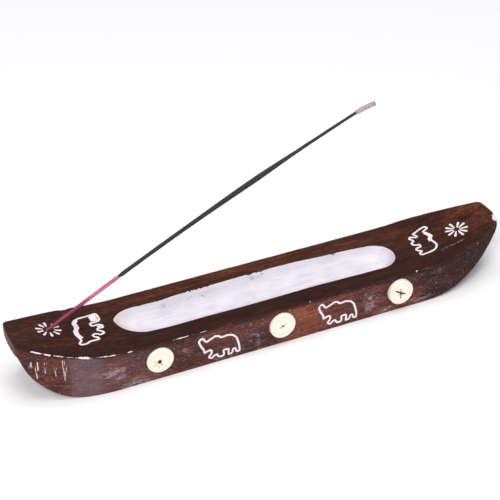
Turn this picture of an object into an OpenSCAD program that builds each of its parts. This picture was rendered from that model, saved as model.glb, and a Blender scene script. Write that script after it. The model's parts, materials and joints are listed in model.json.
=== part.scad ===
// Boat-shaped wooden incense burner with one partly burnt incense stick.
// Millimetres. X runs along the boat, Y across it, Z up. The origin is the middle of the flat bottom.

/* [Hull] */
// Overall length, tip to tip
hull_l = 302; // [260:1:360]
// Width across the parallel sides
hull_w = 52.4; // [44:0.2:62]
// Height of the level part of the deck
hull_h = 23.5; // [20:0.5:28]
// Length of each end over which the deck sweeps up
sweep_l = 69; // [58:1:74]
// Radius of that sweep
sweep_r = 200; // [180:5:240]
// Length of each end over which the sides taper in
taper_l = 53; // [45:1:56]
// Plan radius of the tapering sides
taper_r = 102; // [95:1:120]
// Plan radius of the blunt ends
end_r = 110; // [90:5:140]
// Round on the upright corners of the ends
corner_r = 3; // [2:0.5:4]

/* [Underside] */
// Length of the left end's overhang, from its tip to the flat bottom
left_overhang = 33; // [28:1:40]
// Radius of the left end's underside
left_rise_r = 34; // [34:1:42]
// Length of the right end's overhang
right_overhang = 59; // [50:1:65]
// Radius of the right end's underside
right_rise_r = 70; // [66:1:84]

/* [Ash trough] */
// Land between the left tip and the trough
left_land = 62; // [60:1:72]
// Land between the right tip and the trough
right_land = 66; // [62:1:76]
// Width of the trough at the deck
trough_w = 29; // [24:0.5:35]
// Depth of the trough at its middle
trough_d = 10; // [8:0.5:12]
// Turn of the trough from the boat's long axis, in degrees
trough_turn = -1; // [-1.5:0.5:1.5]
// Thickness of the whitewash that lines the trough
wash_t = 0.4; // [0.3:0.1:0.6]

/* [Wood-slice discs] */
// Diameter of a slice
disc_d = 15.8; // [13:0.2:19]
// Depth of the drilled pocket that a slice is glued into
disc_sunk = 2; // [1.5:0.25:3]
// How far the slices stand out of the side, from the left one to the right one
disc_proud = [1.2, 2, 2.8]; // [1:0.1:3.5]
// Bevel around a slice's face
disc_bevel = 0.6; // [0.2:0.1:0.9]
// Distance from a tip to the centre of the outer slice
disc_inset = 75.7; // [70:0.1:86]
// Height of the slices' centres above the side's mid-height
disc_lift = 1.4; // [0:0.1:1.6]
// Radial gap between a slice and its pocket
disc_gap = 0.1; // [0.05:0.05:0.2]

/* [Carved outlines] */
// Depth of the engraved grooves
groove_d = 0.8; // [0.5:0.1:1.2]
// How far the white filler lies below the wood around it
fill_drop = 0.15; // [0.1:0.05:0.3]
// Groove width of the outlines on the sides
side_line_w = 1.2; // [1:0.1:1.3]
// Groove width of the outlines on the deck
deck_line_w = 1.2; // [1:0.1:1.3]
// Depth of the side outlines' centres below the side's mid-height
side_carving_drop = 0.7; // [0:0.1:1]
// Distance from a tip to the centre of the outline on the deck
deck_carving_inset = 45; // [42:1:48]

/* [Starbursts] */
// Distance from a tip to the centre of its starburst
star_inset = 24; // [22:0.5:26]
// Offset of the left starburst and of the stick's hole across the deck
left_star_y = 6.5; // [0:0.5:7]
// Offset of the right starburst across the deck
right_star_y = -4; // [-7:0.5:0]
// Number of rays
ray_n = 10; // [8:1:12]
// Width of a ray
ray_w = 1.2; // [0.9:0.1:1.3]
// Wood left between the stick's hole and the inner ends of the rays
ray_land = 0.35; // [0.3:0.05:1]
// Distance from the star's centre to the outer end of a ray
ray_out = 7.3; // [6.5:0.1:9]

/* [Incense stick] */
// Angle of the stick at its hole above the horizontal, in degrees
stick_tilt = 29.5; // [20:0.5:40]
// Turn of the stick away from the boat's long axis, in degrees
stick_yaw = -1.8; // [-4:0.2:4]
// Radius of the stick's gentle sag
sag_r = 2000; // [1500:100:4000]
// Diameter of the bare, dyed end of the bamboo core
grip_d = 2.1; // [1.7:0.1:2.6]
// Diameter of the core under the paste
core_d = 1.3; // [1:0.1:1.5]
// Radial gap between the core and its hole
hole_gap = 0.15; // [0.1:0.05:0.3]
// Depth of the hole along its axis
hole_depth = 10; // [7:0.5:12]
// Length of bare core above the hole
bare_l = 48; // [35:1:60]
// Length of the paste that isn't burnt
paste_l = 158; // [60:1:160]
// Diameter of the paste where it starts
paste_start_d = 2.3; // [2.2:0.1:3]
// Diameter of the paste where it burns
paste_end_d = 1.9; // [1.8:0.1:2.6]
// Extra diameter where the hand-rolled paste is thickest
paste_swell = 1.2; // [0:0.1:1.5]
// Length of the hanging ash
ash_l = 13; // [5:1:15]
// Diameter of the ash
ash_d = 2.8; // [2.2:0.1:3.2]
// Radius at which the ash droops
ash_droop_r = 50; // [40:5:200]

/* [Hidden] */

$fn = 180;
past = 1;                                // how far a cut runs past the face that it opens
tall = 3 * hull_h;                       // more than the height of the tips
half_l = hull_l / 2;
half_w = hull_w / 2;
level_x = half_l - sweep_l;              // where the deck starts to sweep up
taper_x = half_l - taper_l;              // where the sides start to taper
sweep_z = hull_h + sweep_r;              // height of the sweep's centre

// Trough: a ball-nosed channel, so its section and its ends share one radius.
bowl_r = (pow(trough_w / 2, 2) + pow(trough_d, 2)) / (2 * trough_d);
bowl_z = hull_h - trough_d + bowl_r;
trough_run = hull_l - left_land - right_land - trough_w;
trough_mid_x = (left_land - right_land) / 2;

// Discs and side outlines are set out from the tips and from the side's mid-height.
disc_x = half_l - disc_inset;
disc_z = hull_h / 2 + disc_lift;
side_carving_z = hull_h / 2 - side_carving_drop;
disc_shift = [[0, -0.3], [-1, -0.2], [0, 0.1]];  // the carver's hand: each disc's own offset
carving_shift = [-1.8, -2.6];            // and each side outline's, from halfway between its discs
star_x = half_l - star_inset;
deck_carving_x = half_l - deck_carving_inset;
deck_carving_y = [2, -1.5];

// Stick
star_z = sweep_z - sqrt(pow(sweep_r, 2) - pow(star_x - level_x, 2));
hole_d = grip_d + 2 * hole_gap;
mouth_angle = stick_tilt + asin((star_x - level_x) / sweep_r);   // between the hole and the deck around it
ray_in = hole_d / 2 / sin(mouth_angle) + groove_d / tan(mouth_angle) + ray_land;
mouth_l = 4;                             // how far the drill starts above the hole's mouth
foot_bevel = 0.4;
swell_at = 0.59;                         // where the paste is thickest, as a share of its length
swell_before = 0.23;
swell_after = 0.12;
sweep_sides = 16;
paste_rings = 28;
ash_rings = 12;

// One elephant outline for the sides: u along the boat, v up, head and raised trunk at the left.
side_elephant = [
    [-12.5, 6], [-11.5, 7.5], [-10, 7.5], [-8, 4.5], [-5, 6], [-2.5, 7], [-0.5, 6.5], [1, 5],
    [5, 5.5], [8, 4.5], [10, 2.5], [11, 0], [12, -4.5], [12, -7.5],
    [10, -7.5], [9.5, -5], [8, -5], [7.5, -7.5], [5, -8], [5.5, -4],
    [2, -4], [2.5, -7], [1, -8], [-1, -7.5], [-2, -5.5], [-3.5, -6], [-5, -7.5], [-7, -6],
    [-5, -4], [-5, -2], [-6.5, -1.5], [-9.5, -2.5], [-9.5, -0.5], [-11.5, 3]
];
// The left deck's elephant is larger, with a heavy back and two filled legs.
left_deck_elephant = [
    [14, -9], [12.5, -2.5], [12, 1.5], [10.5, 4.5], [8, 6], [3, 6], [0, 8], [-3.5, 8],
    [-8, 7], [-9.5, 7], [-12, 9], [-13.5, 8.5], [-13, 5], [-11.5, 3], [-10.5, -3],
    [-8.5, -2.5], [-8, -1], [-6, -0.5], [-5, -2], [-5.5, -3.5], [-7, -5], [-5.5, -7.5],
    [-4, -7], [-2, -4.5], [-0.5, -5.5], [-0.5, -8.5], [2, -9], [3, -7],
    [2.5, -3], [5.5, -3], [6, -8], [8, -9.5], [12, -9.5]
];
left_deck_patches = [
    [[11, 3.5], [8, 6], [3, 6], [2.5, 4], [7.5, 4]],
    [[3, 6], [0, 8], [-8, 7], [-7.5, 5.5], [-1, 5.5], [2.5, 4]],
    [[14, -9], [13, -4], [5.5, -4], [6, -8], [8, -9.5], [12, -9.5]],
    [[-0.5, -5.5], [-0.5, -8.5], [2, -9], [3, -7], [2.8, -5.5]]
];
right_deck_elephant = [
    [-12.5, 7.5], [-12, 4], [-10.5, 0], [-10, -2], [-8, -1.5], [-6, -1], [-6, -2.5],
    [-8, -5], [-6.5, -6.5], [-5, -5.5], [-3.5, -5], [-2, -7.5], [0, -7.5], [1, -6],
    [1.5, -4], [4, -4.5], [4, -7.5], [5.5, -8.5], [7, -7.5], [8, -6], [9.5, -8.5], [11.5, -8.5],
    [11.5, -2], [11, 0.5], [9.5, 3], [7, 4.5], [4.5, 4.5], [2.5, 4], [0, 4.5],
    [-2, 6.5], [-4.5, 6], [-7, 5], [-8.5, 4], [-9.5, 6.5], [-10.5, 8.5]
];
right_deck_patches = [
    [[2.5, 4], [0, 4.5], [-2, 6.5], [-7, 5], [-6.5, 3.5], [-2, 4], [0, 2.5], [2.5, 2.5]]
];

// ---- outline helpers ----

function unit(v) = v / norm(v);
function left_of(v) = [-v[1], v[0]];

// The corner of a closed line's offset: along the bisector, no further than the limit.
function corner(a, b, c) =
    let (n1 = left_of(unit(b - a)), n2 = left_of(unit(c - b)), m = (n1 + n2) / (1 + n1 * n2), limit = 2)
    norm(m) > limit ? m * limit / norm(m) : m;

function offset_loop(pts, gap) =
    let (n = len(pts))
    [for (i = [0 : n - 1]) pts[i] + gap * corner(pts[(i + n - 1) % n], pts[i], pts[(i + 1) % n])];

// A closed line of one width
module loop_line(pts, w) {
    n = len(pts);
    polygon(
        points = concat(offset_loop(pts, w / 2), offset_loop(pts, -w / 2)),
        paths = [[for (i = [0 : n - 1]) i], [for (i = [0 : n - 1]) n + i]]
    );
}

module elephant(pts, w, patches = []) {
    loop_line(pts, w);
    for (patch = patches) polygon(patch);
}

module starburst() {
    for (i = [0 : ray_n - 1])
        rotate(360 / ray_n * (i + 0.5)) {
            translate([ray_in, -ray_w / 2]) square([ray_out - ray_in - ray_w / 2, ray_w]);
            translate([ray_out - ray_w / 2, 0]) circle(d = ray_w, $fn = 32);
        }
}

// ---- hull ----

function circles_meet(c1, r1, c2, r2) =
    let (d = norm(c2 - c1), a = (r1 * r1 - r2 * r2 + d * d) / (2 * d), h = sqrt(r1 * r1 - a * a), e = (c2 - c1) / d)
    c1 + a * e + h * left_of(e);

// Plan of the right end, from where the taper starts: two tapering arcs, a blunt arc and two round corners.
module end_plan() {
    side_c = [taper_x, half_w - taper_r];
    blunt_c = [half_l - end_r, 0];
    round_c = circles_meet(blunt_c, end_r - corner_r, side_c, taper_r - corner_r);
    on_side = side_c + taper_r * unit(round_c - side_c);
    on_blunt = blunt_c + end_r * unit(round_c - blunt_c);
    intersection() {
        translate(side_c) circle(r = taper_r, $fn = 360);
        mirror([0, 1]) translate(side_c) circle(r = taper_r, $fn = 360);
        translate(blunt_c) circle(r = end_r, $fn = 360);
        polygon([
            [taper_x - past, -half_w - past], [on_side[0], -half_w - past],
            [on_side[0], -on_side[1]], [on_blunt[0], -on_blunt[1]], [half_l + past, -on_blunt[1]],
            [half_l + past, on_blunt[1]], [on_blunt[0], on_blunt[1]], [on_side[0], on_side[1]],
            [on_side[0], half_w + past], [taper_x - past, half_w + past]
        ]);
    }
    for (side = [-1, 1])
        translate([round_c[0], side * round_c[1]]) circle(r = corner_r, $fn = 64);
}

module plan() {
    translate([-taper_x, -half_w]) square([2 * taper_x, hull_w]);
    for (end = [0, 1])
        mirror([end, 0]) intersection() {
            end_plan();
            translate([taper_x, -half_w]) square([taper_l, hull_w]);
        }
}

// What lies under one end's rising underside, for the right end
module under_end(overhang, rise_r) {
    x = half_l - overhang;
    difference() {
        translate([x, -past]) square([overhang + past, rise_r + past]);
        translate([x, rise_r]) circle(r = rise_r, $fn = 360);
    }
}

// Everything above the deck in side view
module above_deck() {
    translate([-level_x, hull_h]) square([2 * level_x, tall]);
    for (end = [-1, 1])
        translate([end * level_x, sweep_z]) circle(r = sweep_r, $fn = 720);
}

module side_view() {
    difference() {
        translate([-half_l - past, 0]) square([hull_l + 2 * past, tall]);
        above_deck();
        under_end(right_overhang, right_rise_r);
        mirror([1, 0]) under_end(left_overhang, left_rise_r);
    }
}

module trough_space(shrink = 0) {
    translate([trough_mid_x, 0, bowl_z]) rotate([0, 0, trough_turn]) {
        rotate([0, 90, 0]) cylinder(h = trough_run, r = bowl_r - shrink, center = true);
        for (end = [-1, 1])
            translate([end * trough_run / 2, 0, 0]) sphere(r = bowl_r - shrink);
    }
}

// ---- placing on the sides and on the deck ----

// Children drawn in 2D, cut into the near side: from the side's face inwards, between two depths
module in_near_side(x, z, from, to) {
    translate([x, -half_w + to, z]) rotate([90, 0, 0]) linear_extrude(to - from) children();
}

// Children drawn in 2D, standing in the sweep of one end of the deck, down to a depth
module in_deck(end, x, y, turn, depth) {
    intersection() {
        translate([x, y, 0]) linear_extrude(tall) rotate(turn) children();
        translate([end * level_x, 0, sweep_z]) rotate([90, 0, 0])
            cylinder(h = hull_w, r = sweep_r + depth, center = true, $fn = 720);
    }
}

module deck_elephant(end) {
    if (end < 0) elephant(left_deck_elephant, deck_line_w, left_deck_patches);
    if (end > 0) elephant(right_deck_elephant, deck_line_w, right_deck_patches);
}

module deck_elephant_space(end, depth) {
    i = end < 0 ? 0 : 1;
    in_deck(end, end * deck_carving_x, deck_carving_y[i], -90 * end, depth) deck_elephant(end);
}

module star_space(end, depth) {
    in_deck(end, end * star_x, end < 0 ? left_star_y : right_star_y, 0, depth) starburst();
}

// The x of a side outline, halfway between two discs and shifted by the carver's hand
function carving_x(i) = (i == 0 ? -1 : 1) * disc_x / 2 + carving_shift[i];

// The centre of a disc, from the left one to the right one
function disc_at(i) = [(i - 1) * disc_x, disc_z] + disc_shift[i];

module near_cuts() {
    for (i = [0 : 2])
        in_near_side(disc_at(i)[0], disc_at(i)[1], -past, disc_sunk) circle(d = disc_d + 2 * disc_gap, $fn = 96);
    for (i = [0, 1])
        in_near_side(carving_x(i), side_carving_z, -past, groove_d) elephant(side_elephant, side_line_w);
}

module hull() {
    color([0.27, 0.13, 0.08]) difference() {
        intersection() {
            linear_extrude(tall) plan();
            rotate([90, 0, 0]) linear_extrude(hull_w + 2 * past, center = true) side_view();
        }
        trough_space();
        near_cuts();
        rotate([0, 0, 180]) near_cuts();
        for (end = [-1, 1]) {
            deck_elephant_space(end, groove_d);
            star_space(end, groove_d);
        }
        stick_place() translate([-hole_depth, 0, 0]) rotate([0, 90, 0])
            cylinder(h = hole_depth + mouth_l, d = hole_d, $fn = 48);
    }
}

// ---- paint and inlays ----

module trough_whitewash() {
    color([0.93, 0.91, 0.95]) intersection() {
        difference() {
            trough_space();
            trough_space(wash_t);
        }
        rotate([90, 0, 0]) linear_extrude(hull_w, center = true) side_view();
    }
}

module near_disc(i) {
    face_r = disc_d / 2 - disc_bevel;
    color([0.95, 0.9, 0.78]) translate([disc_at(i)[0], -half_w + disc_sunk, disc_at(i)[1]]) rotate([90, 0, 0]) {
        cylinder(h = disc_sunk + disc_proud[i] - disc_bevel, d = disc_d, $fn = 96);
        translate([0, 0, disc_sunk + disc_proud[i] - disc_bevel])
            cylinder(h = disc_bevel, r1 = disc_d / 2, r2 = face_r, $fn = 96);
    }
}

module near_elephant(i) {
    color([0.95, 0.92, 0.9]) in_near_side(carving_x(i), side_carving_z, fill_drop, groove_d)
        elephant(side_elephant, side_line_w);
}

module near_disc_left() near_disc(0);
module near_disc_middle() near_disc(1);
module near_disc_right() near_disc(2);
// The far side is the near side turned round, so its left is the near side's right.
module far_disc_left() rotate([0, 0, 180]) near_disc(2);
module far_disc_middle() rotate([0, 0, 180]) near_disc(1);
module far_disc_right() rotate([0, 0, 180]) near_disc(0);
module near_elephant_left() near_elephant(0);
module near_elephant_right() near_elephant(1);
module far_elephant_left() rotate([0, 0, 180]) near_elephant(1);
module far_elephant_right() rotate([0, 0, 180]) near_elephant(0);

// What lies in the sweep's skin, between the filler's face and the grooves' floor
module filler_skin(end) {
    difference() {
        children();
        translate([end * level_x, 0, sweep_z]) rotate([90, 0, 0])
            cylinder(h = hull_w + past, r = sweep_r + fill_drop, center = true, $fn = 720);
    }
}

module deck_elephant_fill(end) {
    color([0.95, 0.92, 0.9]) filler_skin(end) deck_elephant_space(end, groove_d);
}

module star_fill(end) {
    color([0.95, 0.92, 0.9]) filler_skin(end) star_space(end, groove_d);
}

module deck_elephant_left() deck_elephant_fill(-1);
module deck_elephant_right() deck_elephant_fill(1);
module star_left() star_fill(-1);
module star_right() star_fill(1);

// ---- incense stick ----

// Puts children, drawn along +X from the hole's mouth, in the place of the stick
module stick_place() {
    translate([-star_x, left_star_y, star_z]) rotate([0, -stick_tilt, stick_yaw]) children();
}

function degrees(arc, r) = arc / r * 180 / PI;

// A round rod along the stick's sag, from s1 to s2
module sag_rod(s1, s2, d) {
    translate([0, 0, -sag_r]) rotate([0, degrees(s1, sag_r), 0]) rotate([90, 0, 0]) rotate(90) mirror([0, 1])
        rotate_extrude(angle = degrees(s2 - s1, sag_r), $fn = 720) translate([sag_r, 0]) circle(d = d, $fn = 48);
}

paste_s = bare_l;
ash_s = bare_l + paste_l;
ash_a = degrees(ash_s, sag_r);

// Downward angle and place of the stick's middle line at s
function sag_angle(s) = s < ash_s ? degrees(s, sag_r) : ash_a + degrees(s - ash_s, ash_droop_r);
function sag_point(s) =
    s < ash_s
    ? [sag_r * sin(sag_angle(s)), 0, -sag_r * (1 - cos(sag_angle(s)))]
    : [sag_r * sin(ash_a) + ash_droop_r * (sin(sag_angle(s)) - sin(ash_a)), 0,
       -sag_r * (1 - cos(ash_a)) - ash_droop_r * (cos(ash_a) - cos(sag_angle(s)))];

function paste_r(t) =
    let (width = t < swell_at ? swell_before : swell_after, lump = exp(-pow((t - swell_at) / width, 2)))
    (paste_start_d + (paste_end_d - paste_start_d) * t + paste_swell * lump) / 2;

// The ash opens out from the ember and ends blunt.
function ash_r(t) = (paste_end_d + (ash_d - paste_end_d) * sin(90 * min(1, t * 4))) / 2 * (t > 0.96 ? 0.85 : 1);

// Skin of a rod with the radii rs at the places ss along the sag
module sag_skin(ss, rs) {
    k = sweep_sides;
    last = len(ss) - 1;
    points = [
        for (j = [0 : last]) for (i = [0 : k - 1])
            let (a = 360 / k * i, tip = sag_angle(ss[j]))
            sag_point(ss[j]) + rs[j] * (cos(a) * [0, 1, 0] + sin(a) * [sin(tip), 0, cos(tip)])
    ];
    sides = [
        for (j = [0 : last - 1]) for (i = [0 : k - 1])
            let (a = j * k + i, b = j * k + (i + 1) % k)
            each [[a, b, b + k], [a, b + k, a + k]]
    ];
    start_cap = [for (i = [0 : k - 1]) k - 1 - i];
    end_cap = [for (i = [0 : k - 1]) last * k + i];
    polyhedron(points = points, faces = concat([start_cap, end_cap], sides), convexity = 4);
}

module stick_core() {
    color([0.8, 0.25, 0.4]) stick_place() {
        translate([-hole_depth, 0, 0]) rotate([0, 90, 0])
            cylinder(h = foot_bevel, d1 = grip_d - 2 * foot_bevel, d2 = grip_d, $fn = 48);
        translate([foot_bevel - hole_depth, 0, 0]) rotate([0, 90, 0])
            cylinder(h = hole_depth - foot_bevel, d = grip_d, $fn = 48);
        sag_rod(0, paste_s, grip_d);
        sag_rod(paste_s - past, ash_s, core_d);
    }
}

module stick_paste() {
    ts = [for (j = [0 : paste_rings]) j / paste_rings];
    color([0.12, 0.12, 0.12]) stick_place() difference() {
        sag_skin([for (t = ts) paste_s + t * paste_l], [for (t = ts) paste_r(t)]);
        sag_rod(paste_s - past, ash_s + past, core_d);
    }
}

module stick_ash() {
    ts = [for (j = [0 : ash_rings]) j / ash_rings];
    color([0.72, 0.66, 0.66]) stick_place()
        sag_skin([for (t = ts) ash_s + t * ash_l], [for (t = ts) ash_r(t)]);
}

hull();
trough_whitewash();
near_disc_left();
near_disc_middle();
near_disc_right();
far_disc_left();
far_disc_middle();
far_disc_right();
near_elephant_left();
near_elephant_right();
far_elephant_left();
far_elephant_right();
deck_elephant_left();
deck_elephant_right();
star_left();
star_right();
stick_core();
stick_paste();
stick_ash();
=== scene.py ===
import json
import math
import bpy
import bmesh
import numpy as np
from mathutils import Matrix, Vector, noise

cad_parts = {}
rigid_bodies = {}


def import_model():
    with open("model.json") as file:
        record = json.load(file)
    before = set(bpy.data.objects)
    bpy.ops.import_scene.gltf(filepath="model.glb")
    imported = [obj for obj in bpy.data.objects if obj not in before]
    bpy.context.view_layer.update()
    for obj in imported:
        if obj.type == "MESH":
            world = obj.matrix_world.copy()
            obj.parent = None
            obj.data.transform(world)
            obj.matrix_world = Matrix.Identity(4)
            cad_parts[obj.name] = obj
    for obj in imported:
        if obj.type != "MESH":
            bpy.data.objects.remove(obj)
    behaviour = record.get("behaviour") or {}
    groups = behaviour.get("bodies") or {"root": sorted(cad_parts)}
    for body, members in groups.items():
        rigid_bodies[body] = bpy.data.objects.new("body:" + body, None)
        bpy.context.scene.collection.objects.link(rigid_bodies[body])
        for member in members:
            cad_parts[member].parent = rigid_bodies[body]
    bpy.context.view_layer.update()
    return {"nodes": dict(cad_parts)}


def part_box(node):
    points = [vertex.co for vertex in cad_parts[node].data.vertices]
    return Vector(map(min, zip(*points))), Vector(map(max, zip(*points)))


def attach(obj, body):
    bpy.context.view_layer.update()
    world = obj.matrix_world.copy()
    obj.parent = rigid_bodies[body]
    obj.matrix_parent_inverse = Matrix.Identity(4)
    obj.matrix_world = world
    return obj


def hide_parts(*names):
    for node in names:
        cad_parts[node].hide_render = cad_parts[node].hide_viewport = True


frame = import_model()
mm = 0.001
nodes = frame["nodes"]
print("frame loaded:", len(nodes), "nodes")

# camera, lights and floor

camera = {
    "place": (-294.6, -623.3, 490.2),  # mm
    "right": (0.9050, -0.42521, -0.01318),
    "up": (0.23972, 0.48413, 0.84152),
    "lens": 104.2,
}
lights = {  # name: place mm, aimed at mm, size mm, watts, colour
    "key": ((-1560, -1860, 2280), (0, 100, 0), 1400, 66, (1.0, 0.98, 0.97)),
    "fill": ((1260, -2280, 1860), (0, 100, 0), 1500, 11, (0.95, 0.96, 1.0)),
    "top": ((0, 60, 2900), (0, 100, 0), 2000, 34, (1.0, 0.99, 0.99)),
}
world = {"colour": (0.94, 0.95, 1.0), "strength": 0.34}


def linked(name, data):
    obj = bpy.data.objects.new(name, data)
    bpy.context.scene.collection.objects.link(obj)
    return obj


def addCamera():
    right = Vector(camera["right"]).normalized()
    up = (Vector(camera["up"]) - right * Vector(camera["up"]).dot(right)).normalized()
    back = right.cross(up)
    data = bpy.data.cameras.new("camera")
    data.lens = camera["lens"]
    data.sensor_width = 36
    data.clip_start = 0.01
    obj = linked("camera", data)
    turn = Matrix((right, up, back)).transposed().to_4x4()
    obj.matrix_world = Matrix.Translation(Vector(camera["place"]) * mm) @ turn
    bpy.context.scene.camera = obj


def addLights():
    for name, (place, aim, size, watts, colour) in lights.items():
        data = bpy.data.lights.new(name, "AREA")
        data.shape = "DISK"
        data.size = size * mm
        data.energy = watts
        data.color = colour
        obj = linked(name, data)
        obj.location = Vector(place) * mm
        obj.rotation_euler = (Vector(aim) - Vector(place)).to_track_quat("-Z", "Y").to_euler()
    sky = bpy.data.worlds.new("studio")
    sky.use_nodes = True
    background = sky.node_tree.nodes["Background"]
    background.inputs["Color"].default_value = (*world["colour"], 1)
    background.inputs["Strength"].default_value = world["strength"]
    bpy.context.scene.world = sky
    bpy.context.scene.view_settings.view_transform = "Standard"


# shader helpers

class Sock:  # wraps a socket, so that shader maths reads as Python

    def __init__(self, tree, socket):
        self.tree = tree
        self.socket = socket

    def maths(self, operation, *values):
        return self.tree.add("ShaderNodeMath", {"operation": operation}, dict(enumerate(values)))

    def __add__(self, other):
        return self.maths("ADD", self, other)

    def __sub__(self, other):
        return self.maths("SUBTRACT", self, other)

    def __mul__(self, other):
        return self.maths("MULTIPLY", self, other)

    def __rsub__(self, other):
        return self.maths("SUBTRACT", other, self)

    __radd__ = __add__


class Tree:
    def __init__(self, name):
        self.material = bpy.data.materials.new(name)
        self.material.use_nodes = True
        self.nodes = self.material.node_tree.nodes
        self.links = self.material.node_tree.links
        self.shader = self.nodes["Principled BSDF"]

    def add(self, kind, settings=None, sockets=None, out=0):
        node = self.nodes.new(kind)
        for key, value in (settings or {}).items():
            if key == "stops":
                ramp = node.color_ramp
                while len(ramp.elements) < len(value):
                    ramp.elements.new(0.5)
                for element, (place, colour) in zip(ramp.elements, value):
                    element.position = place
                    element.color = (*colour, 1) if len(colour) == 3 else colour
            else:
                setattr(node, key, value)
        for key, value in (sockets or {}).items():
            self.feed(node.inputs[key], value)
        return Sock(self, node.outputs[out])

    def feed(self, socket, value):
        if isinstance(value, Sock):
            self.links.new(value.socket, socket)
        elif isinstance(value, tuple) and len(value) == 3 and socket.type == "RGBA":
            socket.default_value = (*value, 1)
        else:
            socket.default_value = value

    def place(self, size=(1, 1, 1), turn=(0, 0, 0)):  # Object coordinates in mm, turned and then divided by size
        coordinates = self.add("ShaderNodeTexCoord", out=3)
        turned = self.add("ShaderNodeMapping", {"vector_type": "POINT"},
                          {"Vector": coordinates, "Rotation": turn})
        return self.add("ShaderNodeVectorMath", {"operation": "MULTIPLY"},
                        {0: turned, 1: tuple(1 / (s * mm) for s in size)})

    def noise(self, vector, detail, roughness, distortion=0.0):
        return self.add("ShaderNodeTexNoise", {}, {
            "Vector": vector, "Scale": 1.0, "Detail": detail, "Roughness": roughness, "Distortion": distortion})

    def attribute(self, name):
        return self.add("ShaderNodeAttribute", {"attribute_name": name}, out=2)

    def ramp(self, value, low, high):  # 0 below low, 1 above high
        return self.add("ShaderNodeMapRange", {"interpolation_type": "SMOOTHSTEP", "clamp": True},
                        {"Value": value, "From Min": low, "From Max": high})

    def colourRamp(self, value, stops):
        return self.add("ShaderNodeValToRGB", {"stops": stops}, {0: value})

    def mix(self, factor, a, b):
        return self.add("ShaderNodeMix", {"data_type": "RGBA", "blend_type": "MIX", "clamp_factor": True},
                        {0: factor, 6: a, 7: b}, out=2)

    def finish(self, colour, roughness, bumpHeight, bumpDepth, specular):  # bump depth in mm
        self.feed(self.shader.inputs["Base Color"], colour)
        self.feed(self.shader.inputs["Roughness"], roughness)
        bump = self.add("ShaderNodeBump", {}, {"Strength": 1.0, "Distance": bumpDepth * mm, "Height": bumpHeight})
        self.feed(self.shader.inputs["Normal"], bump)
        self.shader.inputs["Specular IOR Level"].default_value = specular
        return self.material


# materials

wood = {
    "darkest": (0.009, 0.003, 0.002), "orange": (0.185, 0.056, 0.019), "endShadeColour": (0.010, 0.0035, 0.003),
    "dust": (0.40, 0.31, 0.34), "haze": (0.20, 0.15, 0.185), "fleck": (0.62, 0.50, 0.50),
    "scratch": (0.72, 0.68, 0.70), "primer": (0.80, 0.74, 0.75), "bare": (0.50, 0.27, 0.16),
    "deckStops": [(0.30, (0.009, 0.003, 0.002)), (0.45, (0.023, 0.006, 0.0038)),
                  (0.60, (0.070, 0.018, 0.009)), (0.78, (0.185, 0.056, 0.019))],
    "sideStops": [(0.28, (0.014, 0.005, 0.005)), (0.45, (0.046, 0.014, 0.013)),
                  (0.58, (0.135, 0.032, 0.020)), (0.76, (0.30, 0.085, 0.042))],
}


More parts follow.
